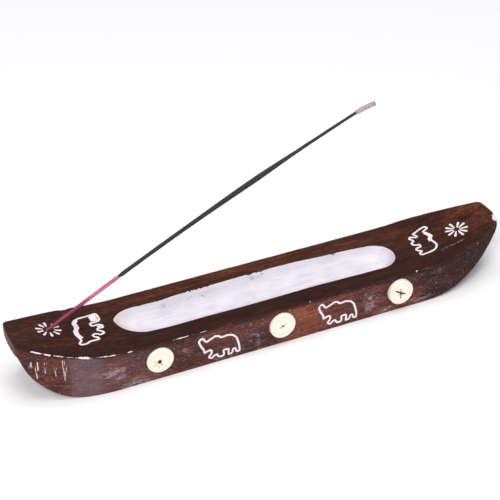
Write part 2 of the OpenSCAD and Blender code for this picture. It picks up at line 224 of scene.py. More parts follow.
def stainedWood():
    t = Tree("stainedWood")
    top, warm, worn, chipped, dusty, scratched, dark, hazeAndSheenMark = [t.attribute(name) for name in (
        "deckPart", "warmth", "wear", "chips", "dust", "scratches", "dark", "haze")]
    broad = t.noise(t.place((70, 5, 5)), 3, 0.5, 0.6)
    streaks = t.noise(t.place((34, 1.3, 1.3)), 5, 0.62, 0.4)
    fibres = t.noise(t.place((9, 0.32, 0.32)), 3, 0.6)
    pores = t.noise(t.place((5.5, 0.5, 0.5)), 2, 0.5)
    blotch = t.noise(t.place((22, 16, 12)), 3, 0.6)
    mottle = t.noise(t.place((3.2, 1.3, 1.0)), 3, 0.65)
    grain = broad * 0.42 + streaks * 0.58 + (mottle - 0.5) * 0.46
    # painted shade: the near side's right end is given a darker tone here
    tone = grain + (warm - 0.5) * 0.42 + (blotch - 0.5) * 0.34 - dark * 0.20
    deck, side = t.colourRamp(tone, wood["deckStops"]), t.colourRamp(tone, wood["sideStops"])
    colour = t.mix(top, side, deck)
    poreMask = t.ramp(pores, 0.60, 0.70)
    colour = t.mix(poreMask * 0.55, colour, wood["darkest"])
    colour = t.mix(t.ramp(fibres, 0.35, 0.75) * 0.24, colour, wood["orange"])
    # painted shade: dark streaks over the near side's right end
    colour = t.mix(dark * t.ramp(streaks, 0.35, 0.6) * 0.6, colour, wood["endShadeColour"])
    # dust caught in the grain of the sides, and short pale scratches
    speckles = t.noise(t.place((3.4, 0.9, 0.36)), 4, 0.78)
    clumps = t.noise(t.place((7, 4, 3)), 2, 0.6)
    dustMask = t.ramp(speckles + (dusty - 0.5) * 0.22 + (clumps - 0.5) * 0.5, 0.555, 0.64)
    colour = t.mix(dustMask * (0.06 + (1 - top) * 0.24 + dusty * 0.70), colour, wood["dust"])
    # painted highlight with dusty haze: a faint lavender sheen over the sides, strongest round the near side's left
    # bend
    haze = t.ramp(blotch, 0.35, 0.7) * (1 - top) * 0.05 + hazeAndSheenMark * 0.40
    colour = t.mix(haze, colour, wood["haze"])
    flecks = t.ramp(t.noise(t.place((1.1, 0.8, 0.5)), 2, 0.6), 0.66, 0.70) * (1 - top)
    colour = t.mix(flecks * 0.55, colour, wood["fleck"])
    lines = t.noise(t.place((0.6, 1.0, 8)), 2, 0.6)
    crumbs = t.noise(t.place((0.7, 0.7, 1.1)), 2, 0.7)
    lineMask = t.ramp(lines + (scratched - 1) * 0.3 + (crumbs - 0.5) * 0.30, 0.47, 0.55)
    lineMask = lineMask * t.ramp(scratched, 0.2, 0.5)
    colour = t.mix(lineMask * 0.9, colour, wood["scratch"])
    # rubbed edges, and chips that show the primer under the stain
    ragged = t.noise(t.place((2.6, 0.7, 0.5)), 4, 0.75)
    rubbed = t.ramp(worn + (ragged - 0.5) * 1.6, 0.66, 1.3)
    colour = t.mix(rubbed * 0.36, colour, wood["bare"])
    chipMask = t.ramp(chipped + (ragged - 0.5) * 1.25, 0.50, 0.60)
    colour = t.mix(chipMask, colour, wood["primer"])
    gloss = t.ramp(blotch, 0.3, 0.7) * 0.12 + (1 - top) * 0.08 + dark * 0.25 + 0.36
    roughness = gloss + poreMask * 0.2 + dustMask * 0.2 + chipMask * 0.35
    height = fibres * 0.30 + streaks * 0.35 - poreMask * 0.45 - chipMask * 0.5 + dustMask * 0.1
    return t.finish(colour, roughness, height, 0.16, 0.15)


def limeWash():
    t = Tree("limeWash")
    wallShade, cream, flaked = t.attribute("shade"), t.attribute("cream"), t.attribute("flakes")
    brush = t.noise(t.place((26, 1.1, 1.1)), 4, 0.6, 0.3)
    clouds = t.noise(t.place((14, 7, 7)), 3, 0.55)
    crumbs = t.noise(t.place((0.8, 0.5, 0.5)), 3, 0.7)
    colour = t.mix(t.ramp(clouds, 0.3, 0.75), (0.75, 0.725, 0.78), (0.64, 0.61, 0.68))
    # painted shade: the trough's upper walls darken towards grey, most along the near wall under the near rim
    colour = t.mix(t.ramp(brush, 0.50, 0.78) * (0.25 + wallShade * 0.5) + wallShade * 0.72, colour, (0.27, 0.225, 0.235))
    colour = t.mix(cream * 0.7, colour, (0.86, 0.77, 0.72))
    speck = t.ramp(crumbs + (flaked - 1) * 0.42, 0.50, 0.57) * t.ramp(flaked, 0.02, 0.25)
    stray = t.ramp(t.noise(t.place((1.6, 1.2, 1.2)), 1, 0.5), 0.785, 0.80)
    colour = t.mix(speck, colour, (0.13, 0.055, 0.04))
    colour = t.mix(stray * 0.5, colour, (0.42, 0.30, 0.27))
    return t.finish(colour, 0.72 - t.ramp(brush, 0.4, 0.7) * 0.08, brush * 0.7 + crumbs * 0.3 - speck, 0.14, 0.3)


def branchSlice():
    t = Tree("branchSlice")
    ring, crack, rim = t.attribute("ringRadius"), t.attribute("crack"), t.attribute("rim")
    drift = t.noise(t.place((3, 3, 3)), 3, 0.6)
    phase = ring * 6.0 + drift * 2.2
    rings = phase.maths("SINE", phase * 2.0)
    rays = t.noise(t.place((0.5, 4, 0.5)), 4, 0.7)
    colour = t.mix(rings * 0.5 + 0.5, (0.90, 0.81, 0.66), (0.96, 0.92, 0.82))
    colour = t.mix(t.ramp(rays, 0.5, 0.8) * 0.3, colour, (0.78, 0.62, 0.40))
    colour = t.mix(rim * 0.28, colour, (0.86, 0.70, 0.55))
    colour = t.mix(t.ramp(crack, 0.25, 0.75), colour, (0.045, 0.022, 0.014))
    return t.finish(colour, 0.62 - rings * 0.05, rays * 0.5 + rings * 0.12 - crack * 0.5, 0.10, 0.35)


def chalkFiller():
    t = Tree("chalkFiller")
    grains = t.noise(t.place((0.7, 0.7, 0.7)), 4, 0.7)
    patches = t.noise(t.place((3.5, 3.5, 3.5)), 3, 0.6)
    colour = t.mix(t.ramp(patches, 0.35, 0.7), (0.92, 0.88, 0.89), (0.84, 0.78, 0.79))
    colour = t.mix(t.ramp(grains, 0.62, 0.74) * 0.40, colour, (0.36, 0.25, 0.24))
    return t.finish(colour, 0.74 - patches * 0.1, grains, 0.16, 0.3)


stickTilt, stickYaw = math.radians(29.5), math.radians(-1.8)
stickTurn = (0, stickTilt, -stickYaw)  # lays the stick along X for its fibres


def dyedBamboo():
    t = Tree("dyedBamboo")
    fibres = t.noise(t.place((16, 0.22, 0.22), stickTurn), 4, 0.6)
    pale = t.noise(t.place((7, 0.5, 0.5), stickTurn), 3, 0.6)
    low = t.attribute("low")
    # painted shade: the stick is darkened towards the hole's mouth, where it stands over the dark wood
    colour = t.colourRamp(fibres * 0.85 + pale * 0.2 - low * 0.24, [
        (0.25, (0.17, 0.010, 0.035)), (0.45, (0.40, 0.050, 0.12)), (0.70, (0.72, 0.33, 0.42))])
    return t.finish(colour, 0.42 + pale * 0.15, fibres, 0.07, 0.5)


def charcoalPaste():
    t = Tree("charcoalPaste")
    grains = t.noise(t.place((0.35, 0.35, 0.35)), 4, 0.7)
    bands = t.noise(t.place((5, 1.2, 1.2), stickTurn), 3, 0.6)
    colour = t.mix(t.ramp(grains, 0.35, 0.75), (0.010, 0.009, 0.010), (0.048, 0.043, 0.046))
    colour = t.mix(t.ramp(bands, 0.5, 0.8) * 0.35, colour, (0.075, 0.062, 0.060))
    return t.finish(colour, 0.66 + grains * 0.2, grains * 0.7 + bands * 0.3, 0.14, 0.4)


def paperyAsh():
    t = Tree("paperyAsh")
    burnt = t.attribute("burnt")
    flakes = t.noise(t.place((0.9, 0.5, 0.5), stickTurn), 4, 0.7)
    cracks = t.add("ShaderNodeTexVoronoi", {"feature": "DISTANCE_TO_EDGE"},
                   {"Vector": t.place((1.3, 0.9, 0.9), stickTurn), "Scale": 1.0})
    colour = t.mix(t.ramp(flakes, 0.3, 0.7), (0.36, 0.29, 0.285), (0.58, 0.49, 0.485))
    colour = t.mix((1 - t.ramp(cracks, 0.02, 0.12)) * 0.45, colour, (0.10, 0.08, 0.08))
    colour = t.mix(burnt, colour, (0.022, 0.012, 0.011))
    return t.finish(colour, 0.85 - flakes * 0.1, flakes + cracks, 0.18, 0.25)


def paleFloor():
    t = Tree("paleFloor")
    grain = t.noise(t.place((3, 3, 3)), 2, 0.5)
    return t.finish((0.955, 0.955, 0.96), 0.8 + grain * 0.05, grain, 0.01, 0.2)


# mesh helpers

def hashNoise(points, size, seed):  # smooth noise from -1 to 1 at each point, with bumps about as big as size
    shift = Vector((seed * 7.13, seed * 3.71, seed * 5.39))
    return np.array([noise.noise(Vector(p) / size + shift) for p in points])


def smooth(t):
    t = np.clip(t, 0, 1)
    return t * t * (3 - 2 * t)


def hump(x, middle, half, power=2):  # 1 at the middle, fading out over half
    return np.exp(-((x - middle) / half) ** power)


def patch(x, y, spot, power=2):  # the same in two directions, for a spot of two middles and two halves
    return np.exp(-((x - spot[0]) / spot[2]) ** power - ((y - spot[1]) / spot[3]) ** power)


def turnOutwards(mesh, weld=False):  # faces point outwards, after doubles are merged
    work = bmesh.new()
    work.from_mesh(mesh)
    if weld:
        bmesh.ops.remove_doubles(work, verts=work.verts, dist=1e-7)
    bmesh.ops.recalc_face_normals(work, faces=work.faces)
    work.to_mesh(mesh)
    work.free()


def makeMesh(name, points, faces, material=None):  # points in mm
    mesh = bpy.data.meshes.new(name)
    mesh.from_pydata((np.asarray(points) * mm).tolist(), [], faces)
    turnOutwards(mesh, weld=True)
    obj = linked(name, mesh)
    if material:
        mesh.materials.append(material)
    mesh.polygons.foreach_set("use_smooth", [True] * len(mesh.polygons))
    return obj


def meshPoints(obj):
    co = np.zeros(len(obj.data.vertices) * 3)
    obj.data.vertices.foreach_get("co", co)
    return co.reshape(-1, 3) / mm


def setAttribute(obj, name, values):
    layer = obj.data.attributes.new(name, "FLOAT", "POINT")
    layer.data.foreach_set("value", np.clip(values, 0, 1).astype(np.float32))


def bakeModifiers(obj):  # makes the evaluated shape the object's own mesh
    bpy.context.view_layer.update()
    shown = obj.evaluated_get(bpy.context.evaluated_depsgraph_get())
    mesh = bpy.data.meshes.new_from_object(shown)
    obj.modifiers.clear()
    obj.data = mesh
    return obj


def joined(name, pieces):  # one object from several, with their meshes welded into one
    work = bmesh.new()
    for piece in pieces:
        work.from_mesh(piece.data)
    mesh = bpy.data.meshes.new(name)
    work.to_mesh(mesh)
    work.free()
    for slot in pieces[0].data.materials:
        mesh.materials.append(slot)
    for piece in pieces:
        bpy.data.objects.remove(piece)
    return linked(name, mesh)


def cutAway(obj, cutters):
    for cutter in cutters:
        step = obj.modifiers.new(cutter.name, "BOOLEAN")
        step.operation = "DIFFERENCE"
        step.solver = "MANIFOLD"
        step.object = cutter
        bakeModifiers(obj)
        bpy.data.objects.remove(cutter)
    return obj


# the boat's shape, in mm

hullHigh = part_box("hull")[1]
hull = {
    "halfLength": hullHigh.x / mm, "halfWidth": hullHigh.y / mm, "height": 23.5,
    "sweepStart": 82, "sweepRadius": 200,
    "taperRadius": 102, "taperLength": {(-1, -1): 54, (-1, 1): 46, (1, -1): 49, (1, 1): 57},
    "endRadius": 110, "cornerRadius": 2.4,
    "overhang": {-1: 35, 1: 59}, "riseRadius": {-1: 34, 1: 70},
    "alongSteps": 300, "acrossSteps": 54, "wallSteps": 20, "roundSteps": 4,
    "edgeRound": 0.60, "edgeWobble": 0.3, "edgeInset": 2.9, "underRound": 0.5,
    "carvedWobble": 0.16, "carvedSize": 26, "toolMarks": 0.16,
    "bowStart": 100, "bowRun": 51,  # where the sides' ends begin to bend round, and over what length
}


def deckHeight(x):
    past = np.maximum(np.abs(x) - hull["sweepStart"], 0)
    return hull["height"] + hull["sweepRadius"] - np.sqrt(hull["sweepRadius"] ** 2 - past ** 2)


def underHeight(x):
    height = np.zeros_like(x)
    for end in (-1, 1):
        radius = hull["riseRadius"][end]
        past = np.maximum(end * x - (hull["halfLength"] - hull["overhang"][end]), 0)
        height += radius - np.sqrt(radius ** 2 - np.minimum(past, radius - 0.5) ** 2)
    return height


def sideReach(x, side):  # how far the side lies from the middle line
    reach = np.zeros_like(x)
    for (end, which), length in hull["taperLength"].items():
        past = np.maximum(end * x - (hull["halfLength"] - length), 0)
        drop = hull["taperRadius"] - np.sqrt(hull["taperRadius"] ** 2 - past ** 2)
        reach += np.where((np.sign(x + 1e-9) == end) & (side == which), hull["halfWidth"] - drop, 0)
    return reach


def bowDepth(x, y):  # how far the blunt end's curve draws a point back
    bow = hull["endRadius"] - np.sqrt(hull["endRadius"] ** 2 - y ** 2)
    return bow * smooth((np.abs(x) - hull["bowStart"]) / hull["bowRun"])


def planPlace(a, b):  # bends a plain rectangle of the boat's length and width into its plan
    side = np.where(b < 0, -1, 1)
    reach = sideReach(a, side)
    inset = hull["halfWidth"] - np.abs(b)
    y = side * (reach - inset - (reach - hull["halfWidth"]) * smooth(inset / hull["halfWidth"]))
    return a - np.sign(a) * bowDepth(a, y), y


def roundCorners(a, b, halfA, halfB, radius):
    overA = np.maximum(np.abs(a) - (halfA - radius), 0)
    overB = np.maximum(np.abs(b) - (halfB - radius), 0)
    far = np.hypot(overA, overB)
    share = np.where(far > 0, np.maximum(overA, overB) / np.maximum(far, 1e-9), 1)
    a2 = np.sign(a) * (np.minimum(np.abs(a), halfA - radius) + overA * share)
    b2 = np.sign(b) * (np.minimum(np.abs(b), halfB - radius) + overB * share)
    return a2, b2


# chips along the upper edge: middle x, half length, side (or end), depth in mm
chips = [
    (-140.5, 3.6, -1, 0.5), (-135.5, 2.2, -1, 0.8), (-130.0, 3.8, -1, 0.35), (-117.0, 4.6, -1, 0.8),
    (-103.5, 6.0, -1, 0.1), (-92, 2.5, -1, 0.05), (-62, 6.0, -1, 0.02), (-49, 3.0, -1, 0.05),
    (16.7, 0.8, -1, 0.5), (86.8, 0.8, -1, 0.6),
    (-112.5, 3.0, 1, 1.5), (-60, 2.0, 1, 0.3), (40, 3.0, 1, 0.25), (96, 4.0, 1, 0.3), (118, 2.0, 1, 0.3),
]
endChip = {"x": 150, "y": -10.5, "reach": 4.0, "depth": 1.6}  # the knock on the right tip


def chipAmount(x, y):
    side = np.where(y < 0, -1, 1)
    amount = np.zeros_like(x)
    depth = np.zeros_like(x)
    for middle, half, which, deep in chips:
        near = hump(x, middle, half, 4) * (side == which)
        amount = np.maximum(amount, near)
        depth = np.maximum(depth, near * deep)
    near = np.exp(-(((x - endChip["x"]) / 4) ** 4 + ((y - endChip["y"]) / endChip["reach"]) ** 4))
    return np.maximum(amount, near), np.maximum(depth, near * endChip["depth"])


def hullFaces(loop, layerCount):  # deck and bottom grids, and the layers between their rims
    na, nb, count = hull["alongSteps"], hull["acrossSteps"], len(loop)
    gridCount = (na + 1) * (nb + 1)
    at = [gridCount + k * count for k in range(layerCount)]
    under = gridCount + layerCount * count
    cell = lambda i, j: i * (nb + 1) + j
    faces = []
    for i in range(na):
        for j in range(nb):
            quad = (cell(i, j), cell(i + 1, j), cell(i + 1, j + 1), cell(i, j + 1))
            faces.append(quad)
            faces.append(tuple(under + q for q in reversed(quad)))
    rim = [cell(i, j) for i, j in loop]
    for n in range(count):
        m = (n + 1) % count
        faces.append((rim[m], rim[n], at[0] + n, at[0] + m))
        for k in range(layerCount - 1):
            faces.append((at[k] + m, at[k] + n, at[k + 1] + n, at[k + 1] + m))
        faces.append((at[-1] + m, at[-1] + n, under + rim[n], under + rim[m]))
    return faces


def hullBody():
    na, nb = hull["alongSteps"], hull["acrossSteps"]
    shareA, shareB = np.linspace(-1, 1, na + 1), np.linspace(-1, 1, nb + 1)
    loop = [(i, 0) for i in range(na)] + [(na, j) for j in range(nb)]
    loop += [(i, nb) for i in range(na, 0, -1)] + [(0, j) for j in range(nb, 0, -1)]
    loopA = shareA[[i for i, j in loop]]
    loopB = shareB[[j for i, j in loop]]
    lengthA, lengthB = hull["halfLength"], hull["halfWidth"]

    def ring(inset):
        a, b = roundCorners(loopA * (lengthA - inset), loopB * (lengthB - inset),
                            lengthA - inset, lengthB - inset, np.maximum(hull["cornerRadius"] - inset, 0.3))
        return planPlace(a, b)

    edgeX, edgeY = ring(np.zeros(len(loop)))
    flat = np.c_[edgeX, edgeY, np.zeros(len(loop))]
    worn = hashNoise(flat, 9, 1) * 0.6 + hashNoise(flat, 3.2, 2) * 0.4
    depth = chipAmount(edgeX, edgeY)[1]
    jagged = np.clip(0.75 + 0.6 * hashNoise(flat, 1.6, 3), 0.2, 1.4)
    roundTop = hull["edgeRound"] + hull["edgeWobble"] * worn + depth * jagged
    roundTop = np.clip(roundTop, 0.35, hull["edgeInset"] - 0.3)
    roundUnder = np.clip(hull["underRound"] + 0.25 * hashNoise(flat, 8, 4), 0.25, 1.0)

    layers = []
    for k in range(hull["roundSteps"] + 1):
        turn = math.pi / 2 * k / hull["roundSteps"]
        x, y = ring(roundTop * (1 - math.sin(turn)))
        layers.append(np.c_[x, y, deckHeight(x) - roundTop * (1 - math.cos(turn))])
    x, y = ring(np.zeros(len(loop)))
    upper, lower = deckHeight(x) - roundTop, underHeight(x) + roundUnder
    for k in range(1, hull["wallSteps"]):
        layers.append(np.c_[x, y, upper + (lower - upper) * k / hull["wallSteps"]])
    for k in range(hull["roundSteps"] + 1):
        turn = math.pi / 2 * k / hull["roundSteps"]
        x, y = ring(roundUnder * (1 - math.cos(turn)))
        layers.append(np.c_[x, y, underHeight(x) + roundUnder * (1 - math.sin(turn))])

    def sheet(inset, height):
        gridA, gridB = np.meshgrid(shareA * (lengthA - inset), shareB * (lengthB - inset), indexing="ij")
        a, b = roundCorners(gridA.ravel(), gridB.ravel(), lengthA - inset, lengthB - inset,
                            max(hull["cornerRadius"] - inset, 0.3))
        x, y = planPlace(a, b)
        return np.c_[x, y, height(x)]

    deck, bottom = sheet(hull["edgeInset"], deckHeight), sheet(hull["edgeInset"], underHeight)
    points = np.vstack([deck] + layers + [bottom])

    # the carver's hand: low, broad waves that only take wood away
    wave = hashNoise(points, hull["carvedSize"], 5) * 0.7 + hashNoise(points, 9, 6) * 0.3
    points[:, 1] -= np.sign(points[:, 1]) * hull["carvedWobble"] * (0.5 + 0.5 * wave) * smooth(
        np.abs(points[:, 1]) / 18)
    tool = hashNoise(points * (0.35, 1, 1), 7, 7)
    points[:, 2] -= np.where(points[:, 2] > 12, hull["toolMarks"] * (0.5 + 0.5 * tool), 0)
    return makeMesh("hullWood", points, hullFaces(loop, len(layers)))


# the trough

trough = {
    "middleX": -2.0, "turn": math.radians(-1), "halfRun": 72.5,
    "bowlRadius": 15.5125, "bowlHeight": 29.0125, "reach": 14.5,
    "wash": 0.4, "wobble": 0.22, "lip": 0.6, "point": 1.6, "steps": 420,
    "farPower": 2.25, "nearPower": 1.72,  # how square each side of the left end is: 2 is round
    # how far the hand-cut rim strays outwards at places along it, on the far and the near side
    "farStray": [(-92, -0.6), (-74, -2.2), (-58, -2.2), (-44, -0.3), (-20, 0.0), (0, 0.9), (28, 0.9),
                 (42, -0.2), (58, -0.8), (72, -2.2), (92, -1.2)],
    "nearStray": [(-92, -0.4), (-78, -0.9), (-62, 0.3), (-42, -0.6), (-18, -0.3), (4, -1.0), (30, -1.6),
                  (52, -1.3), (92, -1.2)],
}


def strayed(x, y):  # moves the rim's y by its stray at that x
    steps = np.arange(-110, 111)
    kernel = np.hanning(17) / np.hanning(17).sum()
    share = np.clip(np.abs(y) / trough["reach"], 0, 1.1)
    ways = []
    for side in ("farStray", "nearStray"):
        spots, amounts = zip(*trough[side])
        padded = np.pad(np.interp(steps, spots, amounts), 8, "edge")
        ways.append(np.interp(x, steps, np.convolve(padded, kernel, "valid")))
    return y + share * np.where(y > 0, ways[0], -ways[1])


def troughRim(count):  # the trough's outline: spine point, outward direction and how far the rim lies, for each step
    straight, turn = 2 * trough["halfRun"], math.pi * trough["reach"]
    total = 2 * (straight + turn)
    spine, out = np.zeros((count, 2)), np.zeros((count, 2))
    for n in range(count):
        s = total * n / count
        if s < straight:
            spine[n], out[n] = (-trough["halfRun"] + s, 0), (0, -1)
        elif s < straight + turn:
            angle = -math.pi / 2 + (s - straight) / trough["reach"]
            spine[n], out[n] = (trough["halfRun"], 0), (math.cos(angle), math.sin(angle))
        elif s < 2 * straight + turn:
            spine[n], out[n] = (trough["halfRun"] - (s - straight - turn), 0), (0, 1)
        else:
            angle = math.pi / 2 + (s - 2 * straight - turn) / trough["reach"]
            spine[n], out[n] = (-trough["halfRun"], 0), (math.cos(angle), math.sin(angle))
    power = np.where(out[:, 1] > 0, trough["farPower"], trough["nearPower"])  # the left end runs to a soft point
    sharp = (np.abs(out[:, 0]) ** power + np.abs(out[:, 1]) ** power) ** (-1 / power)
    stretch = np.where(out[:, 0] < 0, sharp, 1.0)
    rim = spine + out * trough["reach"]
    stretch += trough["wobble"] / trough["reach"] * hashNoise(np.c_[rim, np.zeros(count)], 16, 11)
    return spine, out, stretch


def troughPlace(spine, out, radius, height):  # turns the trough's own x and y into the boat's
    flat = spine + out * radius[:, None]
    c, s = math.cos(trough["turn"]), math.sin(trough["turn"])
    x = trough["middleX"] + flat[:, 0] * c - flat[:, 1] * s
    y = strayed(x, flat[:, 0] * s + flat[:, 1] * c)
    x = x - trough["point"] * hump(y, 7, 4.5) * np.maximum(-out[:, 0], 0) * radius / trough["reach"]
    return np.c_[x, y, np.broadcast_to(height, x.shape)]


def bowlHeight(radius, shrink=0.0):
    return trough["bowlHeight"] - math.sqrt(max((trough["bowlRadius"] - shrink) ** 2 - radius ** 2, 0))


def tubeFaces(rings, count):  # the faces between rings of count points, and a cap at each end
    faces = []
    for k in range(rings - 1):
        for n in range(count):
            m = (n + 1) % count
            faces.append((k * count + n, k * count + m, (k + 1) * count + m, (k + 1) * count + n))
    return faces + [tuple(range(count)), tuple(reversed(range((rings - 1) * count, rings * count)))]


def troughCutter():
    count = trough["steps"]
    spine, out, stretch = troughRim(count)
    deck = hull["height"]
    profile = [(r, bowlHeight(r)) for r in (1.0, 3.5, 6, 8.5, 10.5, 12, 13.2)]
    lip = trough["lip"]
    profile += [(13.8, bowlHeight(13.8)), (14.12, deck - lip * 1.2), (14.3, deck - lip * 0.6),
                (14.55, deck - lip * 0.2), (14.9, deck + 0.08), (15.6, deck + 0.45), (15.9, deck + 5)]
    rings = [troughPlace(spine, out, r * stretch, h) for r, h in profile]
    return makeMesh("troughCut", np.vstack(rings), tubeFaces(len(rings), count))


washFlakes = [(-41, 13.4, 5), (-33, 13.2, 6), (-1, 14.6, 4), (5, 14.6, 4), (52, 13.6, 3), (-58, 12.4, 3)]
washSpot = (75.8, 2.0, 1.1)


def limeLining():
    count = trough["steps"]
    spine, out, stretch = troughRim(count)
    deck = hull["height"]
    rim = troughPlace(spine, out, trough["reach"] * stretch, deck)
    ragged = 0.5 + 0.5 * hashNoise(rim, 2.4, 21)
    dip = 0.10 + 0.25 * ragged
    for x, y, half in washFlakes:
        near = hump(rim[:, 0], x, half) * (rim[:, 1] > 0)
        dip += near * 1.3 * np.clip(0.25 + 0.9 * hashNoise(rim, 1.1, 22), 0, 1)
    edge = deck - trough["lip"] * 0.45 - dip           # where the wash stops under the rim
    back, skin = 0.02, trough["wash"]
    innerRadii = np.array([0.8, 2.5, 4.5, 6.5, 8.5, 10.2, 11.6, 12.7, 13.4])
    rings = [troughPlace(spine, out, r * stretch, bowlHeight(r, skin)) for r in innerRadii]
    topRadius = np.sqrt(np.maximum((trough["bowlRadius"] - skin) ** 2 - (trough["bowlHeight"] - edge) ** 2, 0))
    rings.append(troughPlace(spine, out, topRadius * stretch, edge))
    outerTop = np.sqrt(np.maximum((trough["bowlRadius"] - back) ** 2 - (trough["bowlHeight"] - edge) ** 2, 0))
    rings.append(troughPlace(spine, out, (topRadius * 0.5 + outerTop * 0.5) * stretch, edge + 0.10))
    rings.append(troughPlace(spine, out, outerTop * stretch, edge))
    rings += [troughPlace(spine, out, r * stretch, bowlHeight(r, back)) for r in innerRadii[::-1]]
    points = np.vstack(rings)
    brush = hashNoise(points * (0.06, 1, 1), 0.9, 23) * 0.05 + hashNoise(points, 6, 24) * 0.05
    inner = np.arange(len(points)) < 10 * count
    points[inner, 2] += brush[inner]
    obj = makeMesh("troughWash", points, tubeFaces(len(rings), count), materials["whitewash"])
    p = meshPoints(obj)
    height = smooth((p[:, 2] - 14) / 9)
    # painted shade on the trough's upper walls, deepest along the near wall under the near rim
    setAttribute(obj, "shade", height * (0.12 + 0.88 * smooth((-p[:, 1] - 3) / 7) * smooth((76 - p[:, 0]) / 16)))
    setAttribute(obj, "cream", smooth((-72 - p[:, 0]) / 16))
    flakes = np.exp(-((p[:, 0] - washSpot[0]) ** 2 + (p[:, 1] - washSpot[1]) ** 2) / washSpot[2] ** 2)
    for x, y, half in washFlakes:
        flakes = np.maximum(flakes, np.exp(-((p[:, 0] - x) / half) ** 2 - ((p[:, 1] - y + 1.2) / 1.6) ** 2))
    setAttribute(obj, "flakes", flakes)
    return obj


# Geometry Nodes: gouged lines, ray bursts and rods

class Build:  # a Geometry Nodes tree with named inputs

    def __init__(self, name, inputs):
        self.group = bpy.data.node_groups.new(name, "GeometryNodeTree")
        face = self.group.interface
        face.new_socket("Geometry", in_out="INPUT", socket_type="NodeSocketGeometry")
        self.ids = {}
        for label, kind in inputs.items():
            self.ids[label] = face.new_socket(label, in_out="INPUT", socket_type="NodeSocket" + kind).identifier
        face.new_socket("Geometry", in_out="OUTPUT", socket_type="NodeSocketGeometry")
        self.start = self.group.nodes.new("NodeGroupInput")
        self.end = self.group.nodes.new("NodeGroupOutput")

    def value(self, label):
        return self.start.outputs[label]

    def add(self, kind, settings=None, sockets=None, out=0):
        node = self.group.nodes.new(kind)
        for key, value in (settings or {}).items():
            setattr(node, key, value)
        for key, value in (sockets or {}).items():
            if isinstance(value, bpy.types.NodeSocket):
                self.group.links.new(value, node.inputs[key])
            else:
                node.inputs[key].default_value = value
        return node.outputs[out]

    def maths(self, operation, a, b):
        return self.add("ShaderNodeMath", {"operation": operation}, {0: a, 1: b})

    def vector(self, operation, a, b, socket=1):
        return self.add("ShaderNodeVectorMath", {"operation": operation}, {0: a, socket: b})

    def bead(self, curve, profile, scale):
        return self.add("GeometryNodeCurveToMesh", {},
                        {"Curve": curve, "Profile Curve": profile, "Scale": scale, "Fill Caps": True})

    def ovalProfile(self):  # a flattened circle from the inputs Half Width and Half Depth
        circle = self.add("GeometryNodeCurvePrimitiveCircle", {}, {"Resolution": 10, "Radius": 1.0})
        size = self.add("ShaderNodeCombineXYZ", {},
                        {"X": self.value("Half Width"), "Y": self.value("Half Depth"), "Z": 1.0})
        return self.add("GeometryNodeTransform", {}, {"Geometry": circle, "Scale": size})

    def seededNoise(self, scale, out=0):
        return self.add("ShaderNodeTexNoise", {"noise_dimensions": "4D"}, {
            "Vector": self.add("GeometryNodeInputPosition"), "W": self.value("Seed"),
            "Scale": scale, "Detail": 1.0}, out)

    def roughen(self, geometry, size, height, seed, detail=2.0):  # pushes a surface in and out along its normals
        place = self.add("GeometryNodeInputPosition")
        scale = self.maths("DIVIDE", 1.0, size)
        bumps = self.add("ShaderNodeTexNoise", {"noise_dimensions": "4D"},
                         {"Vector": place, "W": seed, "Scale": scale, "Detail": detail})
        push = self.maths("MULTIPLY", self.maths("SUBTRACT", bumps, 0.5), self.maths("MULTIPLY", height, 2.0))
        normal = self.add("GeometryNodeInputNormal")
        offset = self.vector("SCALE", normal, push, "Scale")
        return self.add("GeometryNodeSetPosition", {}, {"Geometry": geometry, "Offset": offset})

    def finish(self, geometry):
        soft = self.add("GeometryNodeSetShadeSmooth", {}, {"Geometry": geometry, "Shade Smooth": True})
        whole = self.add("GeometryNodeRealizeInstances", {}, {"Geometry": soft})
        painted = self.add("GeometryNodeSetMaterial", {}, {"Geometry": whole, "Material": self.value("Material")})
        self.group.links.new(painted, self.end.inputs["Geometry"])
        return self

    def run(self, obj, values):
        # evaluates the tree on an object and keeps the mesh that it makes
        step = obj.modifiers.new("build", "NODES")
        step.node_group = self.group
        for label, value in values.items():
            step[self.ids[label]] = value
        return bakeModifiers(obj)


def pathObject(name, points, closed, thickness=None):
    # a chain of edges, in mm, for a tree to follow
    mesh = bpy.data.meshes.new(name)
    count = len(points)
    edges = [(n, (n + 1) % count) for n in range(count if closed else count - 1)]
    mesh.from_pydata((np.asarray(points) * mm).tolist(), edges, [])
    if thickness is not None:
        layer = mesh.attributes.new("thickness", "FLOAT", "POINT")
        layer.data.foreach_set("value", np.asarray(thickness, dtype=np.float32))
    return linked(name, mesh)


def gougedLineTree():
    b = Build("gougedLine", {"Half Width": "Float", "Half Depth": "Float", "Step": "Float", "Waver": "Float",
                             "Grain Size": "Float", "Grain Height": "Float", "Seed": "Float",
                             "Material": "Material"})
    curve = b.add("GeometryNodeMeshToCurve", {}, {"Mesh": b.start.outputs[0]})
    curve = b.add("GeometryNodeResampleCurve", {"mode": "LENGTH"}, {"Curve": curve, "Length": b.value("Step")})
    shift = b.vector("SUBTRACT", b.seededNoise(420.0, out=1), (0.5, 0.5, 0.5))
    shift = b.vector("MULTIPLY", shift, (1.0, 1.0, 0.0))
    shift = b.vector("SCALE", shift, b.value("Waver"), "Scale")
    curve = b.add("GeometryNodeSetPosition", {}, {"Geometry": curve, "Offset": shift})
    curve = b.add("GeometryNodeSetCurveNormal", {"mode": "Z_UP"}, {"Curve": curve})
    width = b.maths("ADD", 0.80, b.maths("MULTIPLY", b.seededNoise(300.0), 0.4))
    line = b.bead(curve, b.ovalProfile(), width)
    return b.finish(b.roughen(line, b.value("Grain Size"), b.value("Grain Height"), b.value("Seed")))


